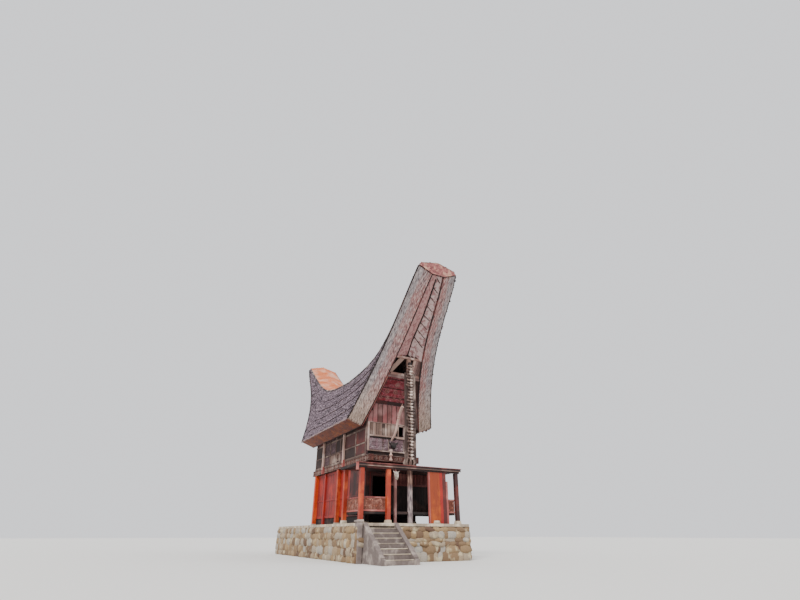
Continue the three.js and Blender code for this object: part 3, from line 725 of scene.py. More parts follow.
class HOUSE_OT_roof_edges(bpy.types.Operator):
    """Lay the bamboo poles that show in the eaves and verges, and the battens along their edges"""
    bl_idname = "house.add_roof_edges"
    bl_label = "Roof edges"

    def execute(self, context):
        count = context.scene.house_roof.pole_count
        chance = random.Random(4)
        for side, sign in SIDES.items():
            sections = ROOF[side]
            layers = []
            for index in range(count):
                share = (index + 0.5) / count
                line = [s["edge"].lerp(s["inner_edge"], share) for s in sections]
                layers.append(poles([line], radius=0.033, shade=share + chance.uniform(-0.2, 0.2)))
            finish_piece(f"roof_layers_{side}", layers, "layers", smooth=60)
            self.outer_rim(side, sign, sections)
            self.inner_battens(side, sign, sections)
        return {"FINISHED"}

    @staticmethod
    def outer_rim(side, sign, sections):
        """A dark worn edge up the verges and a pale one along the eave."""
        line = [s["edge"] + Vector((sign * 0.02, 0, 0.01)) for s in sections]
        verges = [[p for p in line if p.y <= -EAVE_HALF_LENGTH + 0.01],
                  [p for p in line if p.y >= EAVE_HALF_LENGTH - 0.01]]
        eave = [p for p in line if abs(p.y) <= EAVE_HALF_LENGTH + 0.01]
        finish_piece(f"verge_rim_{side}", [poles(verges, radius=0.052, shade=0.1)], "dark",
                     smooth=60)
        finish_piece(f"eave_rim_{side}", [poles([eave], radius=0.036, shade=0.7)], "moulding",
                     smooth=60)

    @staticmethod
    def inner_battens(side, sign, sections):
        """A dark line along the inner edge; on the left a pale batten and its shadow too, up to the ties."""
        batten_reach = 6.2
        lower = [s for s in sections if abs(s["edge"].y) < batten_reach]
        lines = {"inner_edge_shadow": (sections, 0.03, 0.052, "maroon", -0.3)}
        if side == "left":
            lines["inner_batten"] = (lower, 0.1, 0.036, "edging", 0.9)
            lines["second_shadow"] = (lower, 0.165, 0.03, "dark", 0.1)
        for name, (along, inward, radius, surface, shade) in lines.items():
            line = [s["inner_edge"] + Vector((-sign * inward, 0, inward * 0.3)) for s in along]
            finish_piece(f"{name}_{side}", [poles([line], radius, shade)], surface, smooth=60)


class HOUSE_OT_horn_lining(bpy.types.Operator):
    """Set rungs and a painted-shadow ridge line under the horns, and rafters behind the gables"""
    bl_idname = "house.add_horn_lining"
    bl_label = "Horn lining"

    def execute(self, context):
        spacing = context.scene.house_roof.rung_spacing
        block = bevelled_block(0.02)
        slant = 0.07
        for end, direction in ENDS.items():
            low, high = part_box(f"horn_soffit_{end}")
            foot = high.y if direction < 0 else low.y
            start = foot + direction * 0.25
            tip = HORN_REACH[end] - direction * 0.2
            rungs, marks = [], []
            for y in steps_between(start, tip, spacing):
                for sign, group in ((1, rungs), (-1, marks)):
                    half = inner_half_width(Vector((0, y, inner_edge_at(y).z)))
                    inner, outer = (0.02, half - 0.16) if sign > 0 else (0.25, half - 0.3)
                    at = [(sign * inner, y + direction * slant), (sign * outer, y - direction * slant)]
                    group.append([(x, place, lining_height(end, x, place) - 0.008) for x, place in at])
            finish_piece(f"lining_rungs_{end}", [poles(rungs, radius=0.026, shade=0.1)], "dark",
                         smooth=60)
            finish_piece(f"lining_marks_{end}", [poles(marks, radius=0.01, shade=0.4)], "faded",
                         smooth=60)
            # A near-black pole down the boards' middle: painted shadow in the gap under the ridge beam
            ridge = [(0, y, lining_height(end, 0, y) - 0.012) for y in steps_between(foot, tip, 0.3)]
            finish_piece(f"lining_apex_shadow_{end}", [poles([ridge], radius=0.05, shade=0.1)], "dark",
                         smooth=60)
            rafters = []
            for y in steps_between(direction * 4.6, start, 0.35):
                here = section_at(ROOF["right"], y)
                for sign in SIDES.values():
                    ends = [here["inner_edge"].lerp(here["inner_top"], share) for share in (0.2, 0.97)]
                    rafters.append([Vector((sign * (p.x - 0.02), p.y, p.z)) for p in ends])
            finish_piece(f"horn_rafters_{end}", [poles(rafters, radius=0.032, shade=0.3)], "dark",
                         smooth=60)
            finish_piece(f"lining_foot_{end}", self.foot_boards(end, direction, block), "lining")
        discard(block)
        return {"FINISHED"}

    @staticmethod
    def foot_boards(end, direction, block):
        """Boards that carry the lining down to the upper tie beam, longer towards the ridge line."""
        soffit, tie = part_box(f"horn_soffit_{end}"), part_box(f"upper_tie_{end}")
        far, near = (soffit[1].y, tie[0].y) if direction < 0 else (soffit[0].y, tie[1].y)
        middle_lift = lining_height(end, 0, far) - inner_edge_at(far).z
        fall = LINING_EDGE_LIFT - middle_lift
        foot, top = inner_edge_at(near), inner_edge_at(far)
        along = Vector((0, foot.y - top.y, foot.z - top.z))
        boards = []
        for sign in SIDES.values():
            for start, stop, reach in ((0.05, 0.27, 1.6), (0.28, 0.52, 1.35), (0.53, 1.0, 1.05)):
                inner, outer = (Vector((sign * top.x * share, top.y, top.z + middle_lift + fall * share))
                                for share in (start, stop))
                across = outer - inner
                down = along * reach
                out = across.cross(down).normalized() * 0.03
                matrix = Matrix((across, down, out)).transposed().to_4x4()
                matrix.translation = (inner + outer + down) / 2
                boards.append(placed(block, matrix, shade=0.5))
        return boards


class HOUSE_OT_ridge_trim(bpy.types.Operator):
    """Roll the dark edges of the ridge sheet and lap its lengths"""
    bl_idname = "house.add_ridge_trim"
    bl_label = "Ridge trim"

    def execute(self, context):
        cap_low, cap_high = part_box("ridge_cap")
        peak = self.peak_height()
        edges = [[s["ridge"] + Vector((0, 0, 0.06)) for s in sections] for sections in ROOF.values()]
        finish_piece("ridge_edge_rolls", [poles(edges, radius=0.064, shade=0.4, sides=8)], "flashing",
                     smooth=60)
        laps = []
        for y in steps_between(cap_low.y + 0.3, cap_high.y - 0.3, 0.85):
            ridge = section_at(ROOF["right"], y)["ridge"]
            top = ridge.z + 0.124
            laps.append([(-ridge.x, y, top), (0, y, top + peak), (ridge.x, y, top)])
        finish_piece("ridge_laps", [poles(laps, radius=0.014, shade=0.6)], "sheet", smooth=60)
        crest = [(0, s["ridge"].y, s["ridge"].z + SHEET_LIFT + peak) for s in ROOF["right"]]
        finish_piece("ridge_crest_roll", [poles([crest], radius=0.03, shade=0.5, sides=8)], "sheet",
                     smooth=60)
        return {"FINISHED"}

    @staticmethod
    def peak_height():
        """How far the sheet's crest stands over its edges."""
        tip = [vertex.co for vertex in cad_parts["ridge_cap"].data.vertices
               if abs(vertex.co.y - HORN_REACH["front"]) < 0.01]
        crest = max(p.z for p in tip)
        return crest - max(p.z for p in tip if abs(p.x) > 1)


class HOUSE_OT_horn_ends(bpy.types.Operator):
    """Cover the end board of each horn with rows of scales inside a frame"""
    bl_idname = "house.add_horn_ends"
    bl_label = "Horn ends"

    def execute(self, context):
        size = context.scene.house_carving.scale_size
        scale = model("cylinder", ("bevel", {"offset": 0.06, "segments": 1, "affect": "EDGES"}),
                      vertices=10, radius=0.5, depth=0.4, rotation=(math.pi / 2, 0, 0))
        chance = random.Random(5)
        for end, direction in ENDS.items():
            low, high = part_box(f"horn_cap_{end}")
            face = low.y if direction < 0 else high.y
            section = ROOF["right"][0 if direction < 0 else -1]
            outline = [section["ridge"] + Vector((0, 0, SHEET_LIFT)), section["edge"],
                       section["inner_edge"]]
            ring = [Vector((p.x, face, p.z)) for p in outline]
            ring += [Vector((-p.x, face, p.z)) for p in reversed(outline)] + [Vector((0, face, high.z))]
            tiles = []
            row = 0
            z = low.z + size * 0.4
            while z < high.z - size * 0.3:
                half = self.half_width(ring, z) - size * 0.5
                shift = size / 2 if row % 2 else 0
                for x in steps_between(-half + shift, half - shift, size) if half > size else []:
                    matrix = Matrix.Translation((x, face + direction * 0.014, z))
                    turn = Euler((direction * -0.12, chance.uniform(-0.08, 0.08), 0))
                    matrix @= turn.to_matrix().to_4x4()
                    matrix @= Matrix.Diagonal((size * 1.05, 0.05, size * 1.05, 1))
                    tiles.append(placed(scale, matrix, chance.random()))
                z += size * 0.55
                row += 1
            finish_piece(f"horn_scales_{end}", tiles, "scales", smooth=40)
            rim = [p + Vector((0, direction * 0.012, 0)) for p in ring]
            finish_piece(f"horn_end_rim_{end}", [poles([rim[5:] + rim[:1]], radius=0.026, shade=0.6)],
                         "moulding", smooth=60)
            finish_piece(f"horn_end_sill_{end}", [poles([rim[1:5]], radius=0.028, shade=0.1)], "dark",
                         smooth=60)
        discard(scale)
        return {"FINISHED"}

    @staticmethod
    def half_width(ring, z):
        """Half the end board's width at a height."""
        widths = [0.0]
        for a, b in zip(ring, ring[1:] + ring[:1]):
            if min(a.z, b.z) <= z <= max(a.z, b.z) and abs(a.z - b.z) > 1e-6:
                widths.append(abs(a.x + (z - a.z) / (b.z - a.z) * (b.x - a.x)))
        return max(widths)


class HOUSE_OT_gable(bpy.types.Operator):
    """Board the leaning gables and carve suns and borders on them"""
    bl_idname = "house.add_gables"
    bl_label = "Gables"

    def execute(self, context):
        block = bevelled_block(0.006)
        disc = model("cylinder", ("bevel", {"offset": 0.05, "segments": 1, "affect": "EDGES"}),
                     vertices=20, radius=0.5, depth=1)
        rows, border_height, foot = 6, 0.05, 0.22
        suns = [(x, 0.45, 0.26) for x in (-0.9, -0.45, 0, 0.45, 0.9)]
        suns += [(x, 0.86, 0.32) for x in (-0.6, 0, 0.6)] + [(0, 1.35, 0.3)]
        for end, direction in ENDS.items():
            plane, tall = self.plane(end, direction)
            boards, borders, discs = [], [], []
            for row in range(rows):
                bottom = foot + (tall - foot) * row / rows + 0.012
                top = foot + (tall - foot) * (row + 1) / rows - 0.012
                half = inner_half_width(plane @ Vector((0, top, 0))) - 0.02
                boards.append(stretched(block, (-half, bottom, 0.002), (half, top, 0.03),
                                        (row * 3 % 5) / 4, plane))
                if row % 2 == 0:
                    borders.append(stretched(block, (-half, top - border_height, 0.03), (half, top, 0.05),
                                             shade=0.3, matrix=plane))
            half = inner_half_width(plane @ Vector((0, foot, 0))) - 0.02
            # A near-black maroon strip at the gable's foot: painted shadow under its overhang
            shadow = [stretched(block, (-half, 0, 0), (half, foot, 0.02), shade=0.1, matrix=plane)]
            finish_piece(f"gable_foot_shadow_{end}", shadow, "maroon")
            for x, y, size in suns:
                for share, depth, shade in ((1.0, 0.05, 0.95), (0.72, 0.065, 0.1), (0.4, 0.08, 0.8)):
                    matrix = plane @ Matrix.Translation((x, y, 0.015))
                    matrix @= Matrix.Diagonal((size * share, size * share, depth, 1))
                    discs.append(placed(disc, matrix, shade))
                for ray in range(12):
                    turn = plane @ Matrix.Translation((x, y, 0))
                    turn @= Matrix.Rotation(math.tau * ray / 12, 4, "Z")
                    discs.append(stretched(block, (size * 0.52, -0.015, 0.02), (size * 0.66, 0.015, 0.045),
                                           shade=0.9, matrix=turn))
            finish_piece(f"gable_boards_{end}", boards, "gable")
            finish_piece(f"gable_borders_{end}", borders, "maroon")
            finish_piece(f"gable_suns_{end}", discs, "faded")
        discard(block, disc)
        return {"FINISHED"}

    @staticmethod
    def plane(end, direction):
        """A matrix that lays flat work on the gable's outer face, and the face's height."""
        low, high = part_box(f"gable_panel_{end}")
        foot = Vector((0, direction * BODY_HALF_LENGTH, low.z))
        reach = max(abs(low.y), abs(high.y)) - BODY_HALF_LENGTH
        lean = Vector((0, reach * direction, high.z - low.z))
        up, across = lean.normalized(), Vector((1, 0, 0))
        out = across.cross(up) if direction < 0 else up.cross(across)
        plane = Matrix((across, up, out)).transposed().to_4x4()
        plane.translation = foot
        return plane, lean.length


class HOUSE_OT_end_walls(bpy.types.Operator):
    """Face the upper end walls: faded planks, grey boards round the window, carved panels"""
    bl_idname = "house.add_end_walls"
    bl_label = "Upper end walls"

    # Half the faced width, the heights of the bands from the floor up, and the window in the grey one
    half_width = BODY_HALF_WIDTH - 0.02
    panel_top, boards_top, planks_top = 6.46, 7.25, 8.42
    window_left, window_right, window_foot, window_top = 0.47, 0.83, 6.48, 7.14

    def execute(self, context):
        block = bevelled_block(0.006)
        chance = random.Random(3)
        for end, direction in ENDS.items():
            lay = boards_on(block, "y", direction * BODY_HALF_LENGTH, direction)
            self.planks(end, direction, lay, chance, context.scene.house_wall.plank_width)
            self.grey_boards(end, lay, chance)
            self.mouldings(end, direction, lay)
            self.panels(end, lay)
        discard(block)
        return {"FINISHED"}

    def planks(self, end, direction, lay, chance, width):
        """Wide faded planks with dark gaps between them."""
        half = self.half_width
        planks = []
        tones = (0.9, 1.3, -0.1, 0.95, 0.2, 1.2, 0.7, -0.2, 1.1, 0.6)
        for index, (a, b) in enumerate(spans_between(-half, half, width)):
            top = min(self.planks_top, inner_height(max(abs(a), abs(b)), direction * BODY_HALF_LENGTH) - 0.03)
            planks.append(lay(a + 0.022, b - 0.022, self.boards_top + 0.03, top, thick=0.03,
                              shade=tones[index % len(tones)] + chance.uniform(-0.1, 0.1)))
        finish_piece(f"faded_planks_{end}", planks, "faded")
        backing = [lay(-1.45, 1.45, self.boards_top, self.planks_top, thick=0.006, shade=0.0),
                   lay(-1.6, self.window_left, self.panel_top, self.boards_top, thick=0.006, shade=0.0),
                   lay(self.window_right, 1.6, self.panel_top, self.boards_top, thick=0.006, shade=0.0)]
        finish_piece(f"plank_backing_{end}", backing, "dark")

    def grey_boards(self, end, lay, chance):
        half = self.half_width
        boards = []
        for a, b in spans_between(-half, half, 0.19):
            if b < self.window_left - 0.04 or a > self.window_right + 0.04:
                boards.append(lay(a + 0.014, b - 0.014, self.panel_top, self.boards_top, thick=0.02,
                                  shade=chance.uniform(-0.4, 1.4)))
        finish_piece(f"grey_boards_{end}", boards, "grey")

    def mouldings(self, end, direction, lay):
        half, foot = self.half_width, WALL_LOW.z
        left, right, low, high = self.window_left, self.window_right, self.window_foot, self.window_top
        strips = []
        for x, shade in ((-1.22, 0.8), (-0.72, 0.3), (-0.42, 0.9), (0.08, 0.2), (1.25, 0.7)):
            strips.append(lay(x - 0.04, x + 0.04, self.panel_top + 0.06, self.boards_top, thick=0.045,
                              shade=shade))
        strips.append(lay(-half, half, self.boards_top - 0.02, self.boards_top + 0.04, thick=0.05, shade=0.2))
        strips.append(lay(-half, half, self.panel_top - 0.02, self.panel_top + 0.07, thick=0.055, shade=0.6))
        strips.append(lay(-half, half, foot, foot + 0.07, thick=0.06, shade=0.2))
        for x in (-half, half - 0.11):
            top = min(self.boards_top, inner_height(half, direction * BODY_HALF_LENGTH) - 0.05)
            strips.append(lay(x, x + 0.11, foot, top, thick=0.07, shade=0.9))
        strips.append(lay(left - 0.05, left, low - 0.05, high + 0.05, thick=0.06, shade=0.5))
        strips.append(lay(right, right + 0.05, low - 0.05, high + 0.05, thick=0.06, shade=0.5))
        strips.append(lay(left - 0.05, right + 0.05, high, high + 0.05, thick=0.06, shade=0.5))
        strips.append(lay(left - 0.16, right + 0.2, low - 0.09, low, thick=0.12, shade=1.1))
        finish_piece(f"wall_mouldings_{end}", strips, "moulding")

    def panels(self, end, lay):
        """Carved panels over the floor, under a toothed strip."""
        half, foot = self.half_width, WALL_LOW.z
        carved, strips, teeth = [], [], []
        for a, b in ((-half + 0.12, -0.62), (-0.56, -0.24), (0.24, 0.8), (0.86, half - 0.12)):
            carved.append(lay(a, b, foot + 0.1, self.panel_top - 0.12, thick=0.03))
            strips.append(lay(b + 0.005, b + 0.055, foot + 0.05, self.panel_top - 0.12, thick=0.05,
                              shade=0.1))
        for x in steps_between(-half + 0.15, half - 0.15, 0.08):
            if x < self.window_left - 0.18 or x > self.window_right + 0.22:
                teeth.append(lay(x - 0.022, x + 0.022, self.panel_top - 0.12, self.panel_top - 0.02,
                                 thick=0.07, shade=0.1))
        for z in (foot + 0.3, foot + 0.52):
            teeth.append(lay(-half + 0.12, half - 0.12, z, z + 0.018, thick=0.036, shade=0.1))
        finish_piece(f"carved_panels_{end}", carved, "carved")
        finish_piece(f"panel_strips_{end}", strips, "grey")
        finish_piece(f"tooth_strip_{end}", teeth, "dark")


class HOUSE_OT_side_walls(bpy.types.Operator):
    """Face the upper side walls with dark carved panels, and stand tall pale posts before them"""
    bl_idname = "house.add_side_walls"
    bl_label = "Upper side walls"

    # Where the bays meet along the wall, and what fills them in each band from the floor up
    bay_ends = (-4.35, -2.9, -1.15, -0.4, 0.42, 1.5, 2.6, 4.3)
    # The darker fillings are partly painted shade under the eave
    fillings = (("maroon", "dark", "eave_shaded", "grey", "grey", "eave_shaded", "dark"),
                ("maroon", "maroon", "dark", "dark", "eave_shaded", "eave_shaded", "dark"),
                ("maroon", "dark", "dark", "dark", "eave_shaded", "eave_shaded", "maroon"))
    tall_posts = (-1.15, 2.6)

    def execute(self, context):
        width = context.scene.house_wall.pilaster_width
        block = bevelled_block(0.006)
        low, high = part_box("upper_wall_right")
        ends, inset, window_half = 4.43, 0.03, 0.13
        window_foot, window_top = low.z + 0.25, low.z + 0.61
        rails = ((low.z, low.z + 0.1), (low.z + 0.68, low.z + 0.75), (6.86, 6.95),
                 (high.z - 0.25, high.z - 0.15))
        for side, sign in SIDES.items():
            lay = boards_on(block, "x", sign * BODY_HALF_WIDTH, sign)
            strips = [lay(y - width / 3, y + width / 3, low.z + 0.02, high.z - 0.2, thick=0.05, shade=0.2)
                      for y in self.bay_ends]
            strips += [lay(-ends, ends, foot, top, thick=0.045, shade=0.3) for foot, top in rails]
            panels = {}
            for band, fillings in enumerate(self.fillings):
                foot, top = rails[band][1] + inset, rails[band + 1][0] - inset
                for surface, a, b in zip(fillings, self.bay_ends, self.bay_ends[1:]):
                    start, stop = a + width / 3 + inset, b - width / 3 - inset
                    spans = [(start, stop)]
                    if band == 0 and a < 0 < b:
                        spans = [(start, -window_half - 0.05), (window_half + 0.05, stop)]
                    for y0, y1 in spans:
                        panels.setdefault(surface, []).append(lay(y0, y1, foot, top, thick=0.028, shade=0.7))
            for surface, parts in panels.items():
                finish_piece(f"side_panels_{surface}_{side}", parts, surface)
            for y in (-window_half - 0.05, window_half):
                strips.append(lay(y, y + 0.05, window_foot, window_top, thick=0.06, shade=0.8))
            frame_end = window_half + 0.09
            strips.append(lay(-frame_end, frame_end, window_top, window_top + 0.05, thick=0.06, shade=0.8))
            strips.append(lay(-frame_end, frame_end, window_foot - 0.06, window_foot, thick=0.09, shade=0.8))
            finish_piece(f"side_battens_{side}", strips, "grey")
            self.posts(side, lay, high.z)
        discard(block)
        return {"FINISHED"}

    def posts(self, side, lay, top):
        """Pale posts from the floor beam to the eave, each on a faded red foot."""
        beam_low, beam_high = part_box("floor_beam_right")
        shafts, feet = [], []
        for y in self.tall_posts:
            shafts.append(lay(y - 0.055, y + 0.055, beam_high.z - 0.1, top - 0.15, thick=0.13, shade=0.9,
                              off=0.05))
            feet.append(lay(y - 0.1, y + 0.1, beam_low.z - 0.04, beam_high.z + 0.1, thick=0.16, shade=0.7,
                            off=0.0))
        finish_piece(f"eave_posts_{side}", shafts, "pale")
        finish_piece(f"eave_post_feet_{side}", feet, "edging")


class HOUSE_OT_floor_beams(bpy.types.Operator):
    """Carve scrolls along the beams under the upper storey, and the bracket in the middle of the front"""
    bl_idname = "house.add_beam_scrolls"
    bl_label = "Beam scrolls"

    def execute(self, context):
        scrolls, edges = [], []
        margin, pitch, points, half_turns = 0.22, 0.34, 14, 3.4
        beams = (("carved_beam_front", "y", -1), ("carved_beam_back", "y", 1),
                 ("floor_beam_left", "x", -1), ("floor_beam_right", "x", 1))
        for name, axis, direction in beams:
            low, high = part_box(name)
            middle = (low.z + high.z) / 2
            start, stop = (low.x, high.x) if axis == "y" else (low.y, high.y)
            face = getattr(high if direction > 0 else low, axis) + direction * 0.012

            def on_face(along, z):
                return Vector((along, face, z)) if axis == "y" else Vector((face, along, z))

            for index, centre in enumerate(steps_between(start + margin, stop - margin, pitch)):
                turn = 1 if index % 2 else -1
                line = []
                for step in range(points + 1):
                    angle = step / points * half_turns * math.pi
                    radius = turn * (0.02 + 0.1 * step / points)
                    line.append(on_face(centre + radius * math.cos(angle),
                                        middle + radius * math.sin(angle)))
                scrolls.append(line)
            for z in (low.z + 0.025, high.z - 0.025):
                edges.append([on_face(start, z), on_face(stop, z)])
        finish_piece("beam_scrolls", [poles(scrolls, radius=0.013, shade=0.5, taper=lambda s: 0.7 + 0.5 * s)],
                     "moulding", smooth=60)
        finish_piece("beam_edges", [poles(edges, radius=0.018, shade=0.1)], "moulding",
                     smooth=60)
        self.bracket()
        return {"FINISHED"}

    @staticmethod
    def bracket():
        """A pale turned bracket on the front beam, that carries the carvings' foot."""
        x, face, foot, top = -0.2, BEAM_LOW.y, BEAM_LOW.z + 0.05, WALL_LOW.z + 0.1
        line = [(x, face - 0.07, foot + (top - foot) * step / 12) for step in range(13)]
        widths = (1.2, 1.5, 1.1, 0.7, 0.7, 1.1, 1.5, 1.1, 0.7, 0.75, 1.1, 1.4, 1.4)
        stem = poles([line], radius=0.075, shade=0.8, sides=10, taper=lambda s: widths[round(s * 12)])
        finish_piece("front_bracket", [stem], "pale", smooth=50)


class HOUSE_OT_lower_storey(bpy.types.Operator):
    """Board the lower storey, red along the sides and maroon by the porch as painted shade"""
    bl_idname = "house.add_lower_storey"
    bl_label = "Lower storey"

    def execute(self, context):
        sizes = context.scene.house_wall
        block = bevelled_block(0.005)
        chance = random.Random(21)
        # Side-wall boards and rails short of this place, and all on the front, go maroon as painted shade
        painted_shade_bay = -1.6
        boards, shaded, rails, painted_shade_rails = [], [], [], []
        panels = {
            "lower_wall_left": ("x", -1), "lower_wall_right": ("x", 1), "lower_back_wall": ("y", 1),
            "lower_front_wall_left": ("y", -1), "lower_front_wall_over": ("y", -1),
        }
        for name, (axis, direction) in panels.items():
            low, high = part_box(name)
            lay = boards_on(block, axis, getattr(high if direction > 0 else low, axis), direction)
            start, stop = (low.y, high.y) if axis == "x" else (low.x, high.x)
            on_front = name.startswith("lower_front")
            for a, b in spans_between(start, stop, sizes.board_width):
                piece = lay(a + sizes.board_gap / 2, b - sizes.board_gap / 2, low.z + 0.01, high.z - 0.01,
                            sizes.board_proud, chance.random())
                in_shade = on_front or axis == "x" and b < painted_shade_bay
                (shaded if in_shade else boards).append(piece)
            for z, tall in self.rail_heights(low.z, high.z).items():
                if axis == "x":
                    rails.append(lay(painted_shade_bay, stop, z, z + tall, sizes.board_proud + 0.03, shade=0.7))
                    painted_shade_rails.append(lay(start, painted_shade_bay, z, z + tall, sizes.board_proud + 0.03, shade=0.7))
                else:
                    piece = lay(start, stop, z, z + tall, sizes.board_proud + 0.03, shade=0.7)
                    (painted_shade_rails if on_front else rails).append(piece)
        finish_piece("lower_boards", boards, "red")
        for sign in SIDES.values():
            lay = boards_on(block, "x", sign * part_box("lower_wall_right")[1].x, sign)
            rails.append(lay(2.5, 2.72, PLINTH_HIGH.z, BEAM_LOW.z, thick=0.14, shade=1.2))
        finish_piece("lower_rails", rails, "red")
        finish_piece("lower_shaded_boards", shaded, "maroon")
        finish_piece("lower_shaded_rails", painted_shade_rails, "maroon")
        for name in ("lower_front_wall_right", "porch_screen"):
            self.slatted(name, block, chance, sizes)
        discard(block)
        return {"FINISHED"}

    @staticmethod
    def rail_heights(foot, top):
        heights = {foot + 0.02: 0.14, top - 0.16: 0.14}
        if top - foot > 2:
            heights[foot + 1.05] = 0.1
        return heights

    def slatted(self, name, block, chance, sizes):
        """Faded slats over a faded rail, and plain dark boards under it."""
        low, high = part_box(name)
        rail_foot = 3.74
        lay = boards_on(block, "y", low.y, -1)
        slats, boards = [], []
        for a, b in spans_between(low.x, high.x, sizes.slat_width * 1.6):
            slats.append(lay(a, a + sizes.slat_width, rail_foot + 0.1, high.z - 0.02, thick=0.05,
                             shade=chance.uniform(-0.9, 0.3)))
        for a, b in spans_between(low.x, high.x, sizes.board_width):
            boards.append(lay(a + 0.01, b - 0.01, low.z + 0.01, rail_foot, thick=0.02,
                              shade=chance.random() * 0.4))
        finish_piece(f"{name}_slats", slats, "edging")
        finish_piece(f"{name}_boards", boards, "dark")
        finish_piece(f"{name}_rail", [lay(low.x, high.x, rail_foot, rail_foot + 0.1, thick=0.06, shade=-0.2)],
                     "edging")


class HOUSE_OT_posts(bpy.types.Operator):
    """Model the posts of the house and porch on their stone footings"""
    bl_idname = "house.add_posts"
    bl_label = "Posts"

    def execute(self, context):
        tall = context.scene.house_stone.footing_height
        block = bevelled_block(0.016)
        footing = self.footing()
        chance = random.Random(8)
        groups = {}
        for name in sorted(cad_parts):
            if name.startswith(("house_post", "porch_post")):
                groups.setdefault(self.group_of(name), []).append(name)
        for (piece, surface), names in groups.items():
            posts, footings = [], []
            for name in names:
                low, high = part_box(name)
                posts.append(stretched(block, low + Vector((0, 0, tall - 0.02)), high, chance.random()))
                middle, spread = (low + high) / 2, high - low
                matrix = Matrix.Translation((middle.x, middle.y, low.z + tall / 2))
                matrix @= Matrix.Diagonal((spread.x + 0.1, spread.y + 0.1, tall, 1))
                footings.append(placed(footing, matrix, chance.random()))
            finish_piece(piece, posts, surface, names)
            finish_piece(f"{piece}_footings", footings, "coping", smooth=40)
        discard(block, footing)
        return {"FINISHED"}

    @staticmethod
    def group_of(name):
        """The piece that a post belongs to and its material: the shaded ones get dark paint as painted shade.
        """
        if name == "porch_post_right":
            return "end_post", "maroon"
        # The inner right post is in orange darkened as painted shade
        if name == "porch_post_inner_right":
            return "sooty_post", "burnt"
        if name.startswith("porch_post"):
            return "porch_posts", "orange"
        in_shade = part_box(name)[0].y < -4
        return ("front_house_posts", "maroon") if in_shade else ("house_posts", "orange")

    @staticmethod
    def footing():
        """A rounded stone, narrower at its top."""
        shape = model("cube", ("bevel", {"offset": 0.05, "segments": 2, "affect": "EDGES"}), size=1)
        for vertex in shape.data.vertices:
            if vertex.co.z > 0:
                vertex.co.x *= 0.82
                vertex.co.y *= 0.82
        return shape


class HOUSE_OT_porch(bpy.types.Operator):
    """Finish the porch: deck boards, canopy edging, framed rails and slender posts"""
    bl_idname = "house.add_porch"
    bl_label = "Porch"

    def execute(self, context):
        block = bevelled_block(0.005)
        chance = random.Random(14)
        self.deck(block, chance)
        self.canopy(block, chance)
        self.rails(block)
        self.slender_posts(block)
        discard(block)
        return {"FINISHED"}

    @staticmethod
    def deck(block, chance):
        boards = []
        pillar_gap, board_width = 0.17, 0.14
        for a, b in spans_between(DECK_LOW.y + 0.01, DECK_HIGH.y - 0.01, board_width):
            for x0, x1 in ((DECK_LOW.x, -pillar_gap), (pillar_gap, DECK_HIGH.x)):
                boards.append(stretched(block, (x0, a + 0.004, DECK_HIGH.z - 0.01),
                                        (x1, b - 0.004, DECK_HIGH.z + 0.014), chance.random()))
        finish_piece("deck_boards", boards, "dark")

    @staticmethod
    def canopy(block, chance):
        """A thin faded edge along the front, a brown lip under it, and boards on top."""
        low, high = CANOPY_LOW, CANOPY_HIGH
        left = low.x - 0.14
        edge = [stretched(block, (left, low.y - 0.04, high.z - 0.01),
                          (high.x + 0.02, low.y + 0.1, high.z + 0.024), shade=0.0),
                stretched(block, (left, low.y - 0.02, low.z - 0.26),
                          (left + 0.12, low.y + 0.08, high.z), shade=0.9)]
        lip = [stretched(block, (left + 0.12, low.y - 0.012, low.z - 0.035),
                         (high.x, low.y + 0.04, low.z + 0.008), shade=0.3)]
        sides = []
        for sign in SIDES.values():
            near, far = sorted((sign * (high.x - 0.12), sign * (high.x + 0.01)))
            sides.append(stretched(block, (near, low.y + 0.1, low.z - 0.01),
                                   (far, high.y, high.z + 0.015), shade=0.1))
        boards = []
        for x in steps_between(low.x + 0.3, high.x - 0.3, 0.24):
            boards.append(stretched(block, (x - 0.1, low.y + 0.11, high.z - 0.01),
                                    (x + 0.1, high.y, high.z + 0.02), chance.random()))
        finish_piece("canopy_edging", edge, "edging")
        finish_piece("canopy_lip", lip, "grey")
        finish_piece("canopy_sides", sides, "dark")
        finish_piece("canopy_boards", boards, "faded")

    @staticmethod
    def rails(block):
        """A top and foot rail on each carved panel."""
        frames = []
        for name in ("rail_front_left", "rail_front_right", "rail_side_left", "rail_side_right"):
            low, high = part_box(name)
            grow = Vector((0.02, 0.02, 0))
            frames.append(stretched(block, Vector((low.x, low.y, high.z - 0.05)) - grow,
                                    high + grow + Vector((0, 0, 0.03)), shade=0.2))
            frames.append(stretched(block, low - grow * 0.6,
                                    Vector((high.x, high.y, low.z + 0.07)) + grow * 0.6, shade=1.2))
        finish_piece("rail_frames", frames, "edging")

    @staticmethod
    def slender_posts(block):
        """Thin posts beside the wide ones, from the skull's post to the pale one at the right."""
        foot, top = PLINTH_HIGH.z, CANOPY_LOW.z - 0.12
        front, back = POST_LOW.y, POST_LOW.y + 0.14
        places = {
            "skull_post": (((-1.05, -0.94, top),), "faded", 0.0),
            # Its cheeks, in orange darkened as painted shade
            "post_cheeks": (((1.14, POST_LOW.x, top), (POST_HIGH.x, 1.78, top)), "burnt", 0.5),
            # One post's faces: its left face as painted light in bright red, its front as painted shade in
            # maroon
            "post_lit_face": (((1.78, 1.96, top),), "red", 1.6),
            "post_shaded_face": (((1.96, 2.2, top),), "maroon", 1.6),
            "pale_posts": (((1.06, 1.14, top), (2.2, 2.32, 3.85)), "edging", 0.8),
        }
        for name, (spans, surface, shade) in places.items():
            posts = [stretched(block, (start, front + 0.01, foot), (stop, back, tall), shade)
                     for start, stop, tall in spans]
            finish_piece(name, posts, surface)


